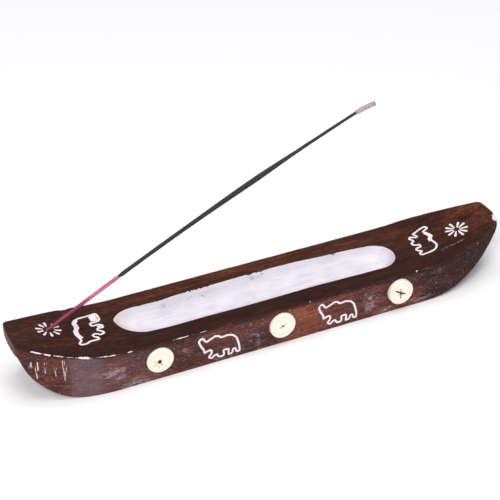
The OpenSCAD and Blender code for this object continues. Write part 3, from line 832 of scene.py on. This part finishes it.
def rayBurstTree():
    b = Build("rayBurst", {"Rays": "Int", "Inner": "Float", "Outer": "Float", "Half Width": "Float",
                           "Half Depth": "Float", "Turn": "Float", "Grain Size": "Float",
                           "Grain Height": "Float", "Seed": "Int", "Material": "Material"})
    inner = b.add("ShaderNodeCombineXYZ", {}, {"X": b.value("Inner")})
    outer = b.add("ShaderNodeCombineXYZ", {}, {"X": b.value("Outer")})
    line = b.add("GeometryNodeCurvePrimitiveLine", {}, {"Start": inner, "End": outer})
    line = b.add("GeometryNodeResampleCurve", {"mode": "COUNT"}, {"Curve": line, "Count": 14})
    line = b.add("GeometryNodeSetCurveNormal", {"mode": "Z_UP"}, {"Curve": line})
    along = b.add("GeometryNodeSplineParameter")
    petal = b.add("ShaderNodeFloatCurve", {}, {"Value": along})
    points = petal.node.mapping.curves[0].points
    points[0].location, points[1].location = (0.0, 0.20), (1.0, 0.35)
    for place, width in ((0.12, 0.50), (0.55, 0.80), (0.84, 1.0), (0.95, 0.82)):
        points.new(place, width)
    petal.node.mapping.update()
    ray = b.bead(line, b.ovalProfile(), petal)
    spots = b.add("GeometryNodePoints", {}, {"Count": b.value("Rays"), "Position": (0.0, 0.0, 0.0)})
    index = b.add("GeometryNodeInputIndex")
    share = b.maths("DIVIDE", b.maths("ADD", index, 0.5), b.value("Rays"))
    jitter = b.add("FunctionNodeRandomValue", {"data_type": "FLOAT"},
                   {2: -0.07, 3: 0.07, "ID": index, "Seed": b.value("Seed")}, out=1)
    angle = b.maths("ADD", b.maths("MULTIPLY", share, 2 * math.pi), b.maths("ADD", jitter, b.value("Turn")))
    turn = b.add("ShaderNodeCombineXYZ", {}, {"Z": angle})
    length = b.add("FunctionNodeRandomValue", {"data_type": "FLOAT"},
                   {2: 0.93, 3: 1.0, "ID": index, "Seed": b.value("Seed")}, out=1)
    rays = b.add("GeometryNodeInstanceOnPoints", {},
                 {"Points": spots, "Instance": ray, "Rotation": turn, "Scale": length})
    rays = b.add("GeometryNodeRealizeInstances", {}, {"Geometry": rays})
    rays = b.roughen(rays, b.value("Grain Size"), b.value("Grain Height"), 3.0)
    return b.finish(rays)


def rodTree():
    b = Build("rodAlongPath", {"Sides": "Int", "Lump Size": "Float", "Lump Height": "Float",
                               "Grain Size": "Float", "Grain Height": "Float", "Seed": "Float",
                               "Material": "Material"})
    curve = b.add("GeometryNodeMeshToCurve", {}, {"Mesh": b.start.outputs[0]})
    thick = b.add("GeometryNodeInputNamedAttribute", {"data_type": "FLOAT"}, {"Name": "thickness"})
    profile = b.add("GeometryNodeCurvePrimitiveCircle", {}, {"Resolution": b.value("Sides"), "Radius": mm})
    rod = b.bead(curve, profile, thick)
    rod = b.roughen(rod, b.value("Lump Size"), b.value("Lump Height"), b.value("Seed"))
    rod = b.roughen(rod, b.value("Grain Size"), b.value("Grain Height"), b.value("Seed"), 3.0)
    return b.finish(rod)


# carved outlines

carving = {
    "halfWidth": {"side": 0.74, "deck": 0.80}, "depth": 0.85, "waver": 0.34, "step": 0.42,
    "fillShare": 0.94, "fillCentre": 0.42, "fillDepth": 0.50, "grainSize": 0.7, "grainHeight": 0.07,
}

sideElephant = [
    (-12.5, 6), (-11.5, 7.5), (-10, 7.5), (-8, 4.5), (-5, 6), (-2.5, 7), (-0.5, 6.5), (1, 5),
    (5, 5.5), (8, 4.5), (10, 2.5), (11, 0), (12, -4.5), (12, -7.5),
    (10, -7.5), (9.5, -5), (8, -5), (7.5, -7.5), (5, -8), (5.5, -4),
    (2, -4), (2.5, -7), (1, -8), (-1, -7.5), (-2, -5.5), (-3.5, -6), (-5, -7.5), (-7, -6),
    (-5, -4), (-5, -2), (-6.5, -1.5), (-9.5, -2.5), (-9.5, -0.5), (-11.5, 3),
]
leftDeckElephant = [
    (14, -9), (12.5, -2.5), (12, 1.5), (10.5, 4.5), (8, 6), (3, 6), (0, 8), (-3.5, 8),
    (-8, 7), (-9.5, 7), (-12, 9), (-13.5, 8.5), (-13, 5), (-11.5, 3), (-10.5, -3),
    (-8.5, -2.5), (-8, -1), (-6, -0.5), (-5, -2), (-5.5, -3.5), (-7, -5), (-5.5, -7.5),
    (-4, -7), (-2, -4.5), (-0.5, -5.5), (-0.5, -8.5), (2, -9), (3, -7),
    (2.5, -3), (5.5, -3), (6, -8), (8, -9.5), (12, -9.5),
]
rightDeckElephant = [
    (-12.5, 7.5), (-12, 4), (-10.5, 0), (-10, -2), (-8, -1.5), (-6, -1), (-6, -2.5),
    (-8, -5), (-6.5, -6.5), (-5, -5.5), (-3.5, -5), (-2, -7.5), (0, -7.5), (1, -6),
    (1.5, -4), (4, -4.5), (4, -7.5), (5.5, -8.5), (7, -7.5), (8, -6), (9.5, -8.5), (11.5, -8.5),
    (11.5, -2), (11, 0.5), (9.5, 3), (7, 4.5), (4.5, 4.5), (2.5, 4), (0, 4.5),
    (-2, 6.5), (-4.5, 6), (-7, 5), (-8.5, 4), (-9.5, 6.5), (-10.5, 8.5),
]
# extra strokes that thicken the backs and fill the legs of the elephants on the deck
leftDeckStrokes = [
    [(10.2, 3.0), (8, 4.8), (3, 4.7), (0, 6.6), (-3.5, 6.7), (-7.5, 5.9)],
    [(12.6, -5.0), (12.2, -8.4)], [(11.0, -4.2), (10.8, -8.4)], [(9.4, -4.2), (9.2, -8.4)],
    [(7.8, -4.2), (7.4, -8.2)], [(0.9, -5.6), (1.2, -8)],
]
rightDeckStrokes = [[(2.3, 3.0), (0, 3.3), (-2, 5.2), (-4.5, 4.9), (-6.6, 4.0)]]


def rounded(points, passes=2):
    # cuts the corners of a closed outline
    points = np.array(points, float)
    for _ in range(passes):
        after = np.roll(points, -1, axis=0)
        cut = 0.13
        pairs = np.stack([points * (1 - cut) + after * cut, points * cut + after * (1 - cut)], axis=1)
        points = pairs.reshape(-1, 2)
    return points


def onSide(centreX, centreZ, side):  # side is -1 for the near one and 1 for the far one
    return lambda p: np.c_[centreX - side * p[:, 0], side * (hull["halfWidth"] + p[:, 2]), centreZ + p[:, 1]]


def onDeck(centreX, centreY, turn):
    c, s = math.cos(turn), math.sin(turn)

    def place(p):
        x = centreX + p[:, 0] * c - p[:, 1] * s
        y = centreY + p[:, 0] * s + p[:, 1] * c
        return np.c_[x, y, deckHeight(x) + p[:, 2]]
    return place


def mapped(obj, place):
    # lays a flat-made mesh on the boat, with its faces outwards
    obj.data.vertices.foreach_set("co", (place(meshPoints(obj)) * mm).ravel())
    obj.data.update()
    turnOutwards(obj.data)
    return obj


def middle(node):
    low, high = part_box(node)
    return (low + high) / 2 / mm


def carvingPlaces():
    # node: outline, strokes, which kind of face, and how it is laid on the boat
    def offset(points):
        points = np.array(points)
        return (points.min(0) + points.max(0)) / 2
    places = {}
    u, v = offset(sideElephant)
    for name, side in (("near", -1), ("far", 1)):
        for end in ("left", "right"):
            node = f"{name}_elephant_{end}"
            m = middle(node)
            places[node] = (sideElephant, [], "side", onSide(m.x + side * u, m.z - v, side))
    u, v = offset(leftDeckElephant)
    m = middle("deck_elephant_left")
    places["deck_elephant_left"] = (leftDeckElephant, leftDeckStrokes, "deck",
                                    onDeck(m.x + v, m.y - u, math.pi / 2))
    u, v = offset(rightDeckElephant)
    m = middle("deck_elephant_right")
    places["deck_elephant_right"] = (rightDeckElephant, rightDeckStrokes, "deck",
                                     onDeck(m.x - v, m.y + u, -math.pi / 2))
    return places


def carvedLine(name, points, closed, kind, seed, fill):
    half = carving["halfWidth"][kind] * mm
    shape = rounded(points) if closed else np.array(points, float)
    path = pathObject(name, np.c_[shape, np.zeros(len(shape))], closed)
    return trees["line"].run(path, {
        "Half Width": half * (carving["fillShare"] if fill else 1),
        "Half Depth": (carving["fillDepth"] if fill else carving["depth"]) * mm,
        "Step": carving["step"] * mm, "Waver": carving["waver"] * mm,
        "Grain Size": carving["grainSize"] * mm,
        "Grain Height": (carving["grainHeight"] if fill else 0.0) * mm,
        "Seed": float(seed), "Material": materials["filler"]})


def sunk(depth, place):
    def lower(p):
        p = p.copy()
        p[:, 2] -= depth
        return place(p)
    return lower


def carvings():
    # the cutters for the hull, and one filling for each elephant
    cutters, strokeCutters, fills = [], [], {}
    for seed, (node, (outline, strokes, kind, place)) in enumerate(carvingPlaces().items()):
        cutters.append(mapped(carvedLine("cut", outline, True, kind, seed, False), place))
        parts = [carvedLine("fill", outline, True, kind, seed, True)]
        for n, stroke in enumerate(strokes):
            strokeCutters.append(mapped(carvedLine("cut", stroke, False, kind, seed + n, False), place))
            parts.append(carvedLine("fill", stroke, False, kind, seed + n, True))
        fills[node] = [mapped(part, sunk(carving["fillCentre"], place)) for part in parts]
    return cutters, strokeCutters, fills


# ray bursts

burst = {
    "rays": 10, "inner": {"star_left": 3.0, "star_right": 1.7}, "outer": 7.3, "halfWidth": 0.80, "depth": 0.85,
    "fillShare": 0.93, "fillCentre": 0.52, "fillDepth": 0.50,
}


def rayBurst(name, node, fill, seed):
    host = pathObject(name, [(0, 0, 0), (1, 0, 0)], False)
    return trees["rays"].run(host, {
        "Rays": burst["rays"], "Inner": burst["inner"][node] * mm, "Outer": burst["outer"] * mm,
        "Half Width": burst["halfWidth"] * (burst["fillShare"] if fill else 1) * mm,
        "Half Depth": (burst["fillDepth"] if fill else burst["depth"]) * mm,
        "Turn": 0.0, "Grain Size": carving["grainSize"] * mm,
        "Grain Height": (carving["grainHeight"] if fill else 0.0) * mm, "Seed": seed,
        "Material": materials["filler"]})


def rayBursts():
    cutters, fills = [], {}
    for seed, node in ((4, "star_left"), (9, "star_right")):
        m = middle(node)
        place = onDeck(m.x, m.y, 0)
        cutters.append(mapped(rayBurst("cut", node, False, seed), place))
        fills[node] = [mapped(rayBurst("fill", node, True, seed), sunk(burst["fillCentre"], place))]
    return cutters, fills


# wood slices

slices = {
    "sunk": 2.0, "bevel": 0.7, "segments": 144, "outOfRound": 0.012, "dome": 0.10,
    "faceRings": [7.0, 6.5, 6.0, 5.5, 5.0, 4.6, 4.2, 3.8, 3.4, 3.0, 2.7, 2.4, 2.1, 1.8, 1.55, 1.3,
                  1.1, 0.95, 0.8, 0.68, 0.56, 0.44, 0.30, 0.15],
}
# each slice's heart, and its cracks: angle in degrees, from radius, to radius, half width
sliceFaces = {
    "left": {"heart": (-0.6, -0.6, 1.3), "cracks": [
        (-92, 2.8, 4.8, 0.20), (-122, 2.0, 4.6, 0.15), (-152, 2.0, 5.0, 0.24), (-58, 1.2, 4.0, 0.18),
        (168, 2.4, 4.2, 0.18), (70, 2.6, 4.6, 0.12), (20, 1.4, 2.8, 0.12)]},
    "middle": {"heart": (-0.2, 0.1, 0.75), "cracks": [(212, 0.4, 3.0, 0.20), (30, 0.3, 1.4, 0.22)]},
    "right": {"heart": (-0.6, 0.0, 0.85), "cracks": [
        (148, 0.0, 5.2, 0.55), (-26, 0.0, 5.0, 0.55), (92, 0.2, 4.2, 0.22), (-84, 0.2, 5.4, 0.36),
        (35, 0.2, 3.4, 0.18), (-140, 0.2, 2.6, 0.18), (-56, 0.2, 3.0, 0.22)]},
}


def sliceCracks(toHeart, face, seed):  # 1 in the dark heart and along each crack
    fromHeart, heartR = np.hypot(toHeart[:, 0], toHeart[:, 1]), sliceFaces[face]["heart"][2]
    crack = smooth((heartR - fromHeart) / heartR * 2.2 + 0.35)
    for angle, start, stop, half in sliceFaces[face]["cracks"]:
        a = math.radians(angle)
        along = toHeart[:, 0] * math.cos(a) + toHeart[:, 1] * math.sin(a)
        aside = -toHeart[:, 0] * math.sin(a) + toHeart[:, 1] * math.cos(a)
        aside += 0.16 * hashNoise(np.c_[along, along * 0, along * 0 + angle], 1.1, seed + 2)
        taper = smooth((along - start) / 0.3 + 0.5) * smooth((stop - along) / (stop - start + 0.3) * 2.2)
        line = hump(aside, 0, half * (0.35 + 0.65 * taper)) * np.minimum(taper * 1.6, 1)
        crack = np.maximum(crack, line)
    return crack


def woodSlice(node, face, far, seed):
    low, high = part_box(node)
    radius = (high.x - low.x) / 2 / mm
    thick = (high.y - low.y) / mm
    centre = middle(node)
    heart = np.array(sliceFaces[face]["heart"][:2])
    count = slices["segments"]
    angles = np.linspace(0, 2 * math.pi, count, endpoint=False)
    rim = radius * (1 - slices["outOfRound"] * (1 + np.cos(2 * angles + seed)) / 2)
    rim -= 0.10 * (0.5 + 0.5 * hashNoise(np.c_[np.cos(angles) * 8, np.sin(angles) * 8, angles * 0], 2.5, seed))
    profile = [(0.2, 0.0), (0.55, 0.0), (0.94, 0.0), (1.0, 0.25)]  # share of the radius, height
    profile += [(1.0, h) for h in np.linspace(0.8, thick - slices["bevel"], 6)]
    profile += [(0.988, thick - slices["bevel"] * 0.55), (0.962, thick - slices["bevel"] * 0.2), (0.925, thick - 0.04)]
    rings, height = [], []
    for share, h in profile:
        rings.append(np.c_[rim * share * np.cos(angles), rim * share * np.sin(angles)])
        height.append(np.full(count, h))
    for r in slices["faceRings"]:                      # the face's rings close in on the heart
        share = r / slices["faceRings"][0] * 0.9
        pull = (1 - share / 0.9) ** 1.2
        ring = np.c_[rim * share * np.cos(angles), rim * share * np.sin(angles)]
        rings.append(ring + pull * heart)
        height.append(np.full(count, thick))
    flat = np.vstack(rings)
    h = np.concatenate(height)
    onFace = np.arange(len(flat)) >= len(profile) * count
    toHeart = flat - heart
    fromHeart = np.hypot(toHeart[:, 0], toHeart[:, 1])
    crack = np.where(onFace, sliceCracks(toHeart, face, seed), 0)
    face3 = np.c_[flat, h]
    h = h - np.where(onFace, crack * 0.55 + slices["dome"] * (fromHeart / radius) ** 2
                     + 0.035 * (1 + hashNoise(face3 * (1, 1, 0), 0.9, seed + 3)), 0)
    side = 1 if far else -1
    points = np.c_[centre.x - side * flat[:, 0], side * (hull["halfWidth"] - slices["sunk"] + h), centre.z + flat[:, 1]]
    obj = makeMesh(sliceNames[node], points, tubeFaces(len(rings), count), materials["slice"])
    setAttribute(obj, "ringRadius", fromHeart / radius)
    setAttribute(obj, "crack", crack)
    setAttribute(obj, "rim", np.where(onFace, smooth((fromHeart / radius - 0.86) / 0.2) * 0.6, 1.0))
    return obj


sliceNames = {
    "near_disc_left": "sliceNearLeft", "near_disc_middle": "sliceNearMiddle", "near_disc_right": "sliceNearRight",
    "far_disc_left": "sliceFarLeft", "far_disc_middle": "sliceFarMiddle", "far_disc_right": "sliceFarRight",
}


def pocketCutters():
    cutters = []
    for node in sliceNames:
        low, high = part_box(node)
        centre, radius = middle(node), (high.x - low.x) / 2 / mm + 0.1
        out = 1 if node.startswith("far") else -1
        floor = out * (hull["halfWidth"] - slices["sunk"])
        angles = np.linspace(0, 2 * math.pi, 72, endpoint=False)
        rings = [np.c_[centre.x + radius * np.cos(angles), np.full(72, y), centre.z + radius * np.sin(angles)]
                 for y in (floor, floor + out * 4)]
        cutters.append(makeMesh("cut", np.vstack(rings), tubeFaces(2, 72)))
    return cutters


# incense stick

stick = {
    "tilt": stickTilt, "yaw": stickYaw, "sag": 2000, "holeDepth": 10, "holeDiameter": 2.4,
    "grip": 2.1, "core": 1.3, "bare": 48, "paste": 158, "ash": 13, "ashDroop": 50, "ashDiameter": 2.8,
    "pasteStart": 2.3, "pasteEnd": 1.65, "swell": 1.2, "swellAt": 0.59, "swellBefore": 0.23, "swellAfter": 0.12,
}


def stickPlace(s):
    # the stick's middle line, s mm up from the hole's mouth
    sag, ashAt = stick["sag"], stick["bare"] + stick["paste"]
    if s < 0:
        x, z = s, 0.0
    elif s < ashAt:
        x, z = sag * math.sin(s / sag), -sag * (1 - math.cos(s / sag))
    else:
        a = ashAt / sag
        droop = stick["ashDroop"]
        b = a + (s - ashAt) / droop
        x = sag * math.sin(a) + droop * (math.sin(b) - math.sin(a))
        z = -sag * (1 - math.cos(a)) - droop * (math.cos(a) - math.cos(b))
    along = x * math.cos(stick["tilt"]) - z * math.sin(stick["tilt"])
    up = x * math.sin(stick["tilt"]) + z * math.cos(stick["tilt"])
    mouth = middle("star_left")
    return (mouth.x + along * math.cos(stick["yaw"]), mouth.y + along * math.sin(stick["yaw"]),
            float(deckHeight(np.array(mouth.x))) + up)


def pasteRadius(t):
    width = stick["swellBefore"] if t < stick["swellAt"] else stick["swellAfter"]
    lump = math.exp(-((t - stick["swellAt"]) / width) ** 2)
    return (stick["pasteStart"] + (stick["pasteEnd"] - stick["pasteStart"]) * t + stick["swell"] * lump) / 2


def rod(name, places, radii, sides, lump, grain, seed, material):
    host = pathObject(name, [stickPlace(s) for s in places], False, radii)
    return trees["rod"].run(host, {
        "Sides": sides, "Lump Size": lump[0] * mm, "Lump Height": lump[1] * mm, "Grain Size": grain[0] * mm,
        "Grain Height": grain[1] * mm, "Seed": float(seed), "Material": material})


def stickCore():
    ashAt = stick["bare"] + stick["paste"]
    half = stick["grip"] / 2
    grip = [(-stick["holeDepth"], half - 0.4), (-stick["holeDepth"] + 0.4, half)]
    grip += [(s, half) for s in np.arange(-stick["holeDepth"] + 0.9, stick["bare"] - 0.3, 0.5)]
    grip += [(stick["bare"] - 0.1, half), (stick["bare"] + 0.1, stick["core"] / 2)]
    grip += [(s, stick["core"] / 2) for s in np.arange(stick["bare"] + 2, ashAt, 4)]
    places, radii = zip(*grip)
    core = rod("stickCore", places, radii, 20, (1.8, 0.02), (0.5, 0.012), 1, materials["bamboo"])
    past = np.linalg.norm(meshPoints(core) - np.array(stickPlace(0)), axis=1)
    # painted shade: darker towards the hole's mouth
    setAttribute(core, "low", smooth((34 - past) / 16))
    return core


def stickPaste():
    shares = np.linspace(0, 1, 520)
    radii = [pasteRadius(t) * min(1, 0.72 + 0.28 * smooth(t * 60)) for t in shares]
    return rod("stickPaste", stick["bare"] + stick["paste"] * shares, radii, 22, (4.5, 0.09), (0.75, 0.065), 2,
               materials["paste"])


def stickAsh():
    ashAt = stick["bare"] + stick["paste"]
    shares = np.linspace(0, 1, 90)
    radii = []
    for t in shares:
        spread = math.sin(min(1, t * 4) * math.pi / 2)
        radius = (stick["pasteEnd"] + (stick["ashDiameter"] - stick["pasteEnd"]) * spread) / 2
        radii.append(radius * (0.86 if t > 0.97 else 0.94))
    ash = rod("stickAsh", ashAt + stick["ash"] * shares, radii, 28, (2.2, 0.20), (0.7, 0.10), 3, materials["ash"])
    far = np.linalg.norm(meshPoints(ash) - np.array(stickPlace(ashAt)), axis=1)
    setAttribute(ash, "burnt", smooth((2.2 - far) / 1.6) + 0.55 * smooth((far - stick["ash"] + 1.1) / 0.8))
    return ash


def holeCutter():
    a, b = Vector(stickPlace(-stick["holeDepth"])), Vector(stickPlace(0))
    along = (b - a).normalized()
    side = along.cross(Vector((0, 0, 1))).normalized()
    up = side.cross(along)
    radius = stick["holeDiameter"] / 2
    rings = []
    for centre, r in ((a, radius), (b - along * 1.2, radius), (b + along * 4, radius)):
        rings.append(np.array([centre + (side * math.cos(t) + up * math.sin(t)) * r
                               for t in np.linspace(0, 2 * math.pi, 40, endpoint=False)]))
    return makeMesh("cut", np.vstack(rings), tubeFaces(3, 40))


# marks on the wood

# dusty, speckled patches: side, strength, and the spot as x, height, reach along, reach up
dustPatches = [
    (-1, 0.9, (-102, 11, 9, 8)), (-1, 1.0, (-92, 3, 10, 4)), (-1, 0.8, (-86, 1, 14, 2)),
    (-1, 0.45, (-60, 14, 8, 7)), (-1, 0.6, (-38, 1.5, 14, 2)), (-1, 0.7, (-18, 12, 8, 9)),
    (-1, 0.6, (-20, 4, 12, 4)), (-1, 0.55, (17, 3, 9, 2.5)), (-1, 0.95, (56, 11, 7, 10)), (-1, 0.9, (65, 3, 10, 4)),
    (-1, 0.9, (88, 3, 12, 3)), (-1, 0.4, (-52, 18, 12, 4)), (-1, 0.45, (98, 14, 9, 8)), (1, 0.7, (30, 10, 14, 9)),
    (1, 0.7, (-80, 8, 12, 9)), (1, 0.5, (110, 10, 9, 8)),
]
# pale scratches: strength, and the spot as above
scratchPatches = [
    (0.9, (-144.5, 24, 0.9, 3)), (1.0, (-141.5, 20.5, 1.0, 7)), (1.0, (-137.6, 22, 0.9, 5)),
    (0.8, (-135.4, 24, 0.7, 3)), (0.95, (-132.4, 18, 0.8, 4.5)), (0.8, (-130.3, 23, 0.7, 3)),
    (1.0, (-128.2, 19, 0.9, 9.5)), (0.8, (-126.6, 20, 0.6, 5)), (0.85, (131.8, 27, 1.3, 5)),
    (0.8, (134.0, 30, 1.2, 2)), (0.7, (129.6, 23, 0.8, 2)),
]


marks = {
    "rubTop": 1.5, "rubUnder": 1.6,  # how far the rubbed edges reach
    "chipWidth": 0.62, "chipSpread": 0.85,
    "thinRuns": [(-122, 24, 0.72), (-55, 14, 0.55)],  # fine chips on the near edge: middle x, half length, strength
    "tipRun": 0.60, "runWidth": 0.75, "knock": (151, -12.0, 35), "knockSize": 4.0,
    "warmth": 0.42, "farWarmth": 0.22, "nearCool": 0.20, "rightWarmth": 0.20,
    "sideWarmth": 0.50, "sideGlow": 0.34, "glowAt": (15, 18),
    "cornerHazeAndSheen": 0.85, "cornerAt": (-117, 9), "leftHazeAndSheen": 0.25,
}


def markHull(obj):
    p = meshPoints(obj)
    x, y, z = p.T
    side = np.where(y < 0, -1, 1)
    deckGap = deckHeight(x) - z
    along = np.abs(x) + bowDepth(x, y)
    reachGap = sideReach(along * np.sign(x), side) - np.abs(y)
    tipGap = hull["halfLength"] - along
    planGap = np.maximum(np.minimum(reachGap, tipGap), 0)
    topEdge = np.hypot(np.maximum(deckGap, 0), planGap)
    underEdge = np.hypot(np.maximum(z - underHeight(x), 0), planGap)
    setAttribute(obj, "deckPart", smooth((1.5 - deckGap) / 1.2))
    wide = 0.5 + 0.5 * hashNoise(p * (1, 1, 0), 11, 31)
    rub = 0.35 + 0.65 * wide
    underRub = rub + 0.5 * smooth((x - 50) / 20) * (side < 0)
    wear = hump(topEdge, 0, marks["rubTop"]) * rub + hump(underEdge, 0, marks["rubUnder"]) * underRub
    setAttribute(obj, "wear", wear)
    amount, depth = chipAmount(x, y)
    # a thin run of chips is narrow as well as shallow
    width = (marks["chipWidth"] + marks["chipSpread"] * np.minimum(depth, 1.2)) * (0.75 + 0.4 * wide)
    knock = np.linalg.norm(p - marks["knock"], axis=1) / (marks["knockSize"] + 0.8 * hashNoise(p, 1.4, 33))
    thin = sum(strength * hump(x, at, half, 4) for at, half, strength in marks["thinRuns"]) * (y < 0)
    thin = np.maximum(thin, marks["tipRun"] * (np.abs(y) < 9) * (x > 140)) * hump(topEdge, 0, marks["runWidth"])
    chipped = np.maximum(amount * hump(topEdge, 0, width), smooth(1.5 - knock))
    setAttribute(obj, "chips", np.maximum(chipped, thin))
    farBand = smooth((y - 5) / 10) * smooth((120 - x) / 40) * smooth((x + 105) / 30)
    warmth = marks["warmth"] + marks["farWarmth"] * farBand
    warmth -= marks["nearCool"] * smooth((-8 - y) / 6) * (deckGap < 2)
    warmth += marks["rightWarmth"] * smooth((x - 112) / 20) * (deckGap < 2)
    warmth = np.where(deckGap > 2, marks["sideWarmth"] + marks["sideGlow"] * hump(x, *marks["glowAt"]), warmth)
    setAttribute(obj, "warmth", warmth)
    sideOnly = smooth((deckGap - 0.4) / 0.8)
    # painted shade: the near side darkens towards its right end
    setAttribute(obj, "dark", sideOnly * (y < 0) * smooth((x - 86) / 14) * (0.75 + 0.25 * smooth((x - 125) / 10)))
    # painted highlight with dusty haze on the near side: strongest in a band round the left bend, fainter over the rest
    # of the left end
    corner = hump(x, *marks["cornerAt"], 4) * marks["cornerHazeAndSheen"]
    leftPart = marks["leftHazeAndSheen"] * smooth((-60 - x) / 30) * smooth((x + 128) / 8)
    setAttribute(obj, "haze", sideOnly * (y < 0) * (corner + leftPart))
    dust = np.zeros(len(p))
    for which, strength, spot in dustPatches:
        dust = np.maximum(dust, strength * patch(x, z, spot) * (side == which))
    streak = 0.9 * np.exp(-((x - 118) / 10) ** 4 - ((y + 15 - 0.03 * (x - 118)) / 0.8) ** 2)
    setAttribute(obj, "dust", np.where(deckGap > 0.6, dust, streak))
    scratch = np.zeros(len(p))
    for strength, spot in scratchPatches:
        scratch = np.maximum(scratch, strength * patch(x, z, spot, 4) * (y < 0))
    setAttribute(obj, "scratches", scratch * (deckGap > 1.0))


# making it all

addCamera()
addLights()
materials = {
    "wood": stainedWood(), "whitewash": limeWash(), "slice": branchSlice(), "filler": chalkFiller(),
    "bamboo": dyedBamboo(), "paste": charcoalPaste(), "ash": paperyAsh(), "floor": paleFloor(),
}
trees = {"line": gougedLineTree(), "rays": rayBurstTree(), "rod": rodTree()}
print("camera, lights, materials and trees made")

floor = makeMesh("floor", [(-3000, -3000, 0), (3000, -3000, 0), (3000, 3000, 0), (-3000, 3000, 0)],
                 [(0, 1, 2, 3)], materials["floor"])

body = hullBody()
body.data.materials.append(materials["wood"])
lineCuts, strokeCuts, fills = carvings()
rayCuts, rayFills = rayBursts()
print("hull and carvings shaped")
cutAway(body, [troughCutter(), joined("pockets", pocketCutters()), joined("lines", lineCuts)])
cutAway(body, strokeCuts + [joined("rays", rayCuts), holeCutter()])
markHull(body)
body.data.set_sharp_from_angle(angle=math.radians(42))
print("hull cut:", len(body.data.polygons), "faces")

built = {"hull": (body, "stained_wood")}
built["trough_whitewash"] = (limeLining(), "whitewash")
for seed, (node, face) in enumerate(zip(sliceNames, ("left", "middle", "right", "right", "middle", "left"))):
    built[node] = (woodSlice(node, face, node.startswith("far"), 40 + seed * 5), "branch_slice")
fillNames = {
    "near_elephant_left": "carvingNearLeft", "near_elephant_right": "carvingNearRight",
    "far_elephant_left": "carvingFarLeft", "far_elephant_right": "carvingFarRight",
    "deck_elephant_left": "carvingDeckLeft", "deck_elephant_right": "carvingDeckRight",
    "star_left": "raysLeft", "star_right": "raysRight",
}
for node, parts in {**fills, **rayFills}.items():
    built[node] = (joined(fillNames[node], parts), "white_filler")
print("wash, slices and fillings made")
stickParts = {"stick_core": (stickCore(), "dyed_bamboo"), "stick_paste": (stickPaste(), "incense_paste"),
              "stick_ash": (stickAsh(), "ash")}
built.update(stickParts)
print("stick made")

for node, (piece, slot) in built.items():
    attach(piece, "stick" if node in stickParts else "boat")
    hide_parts(node)
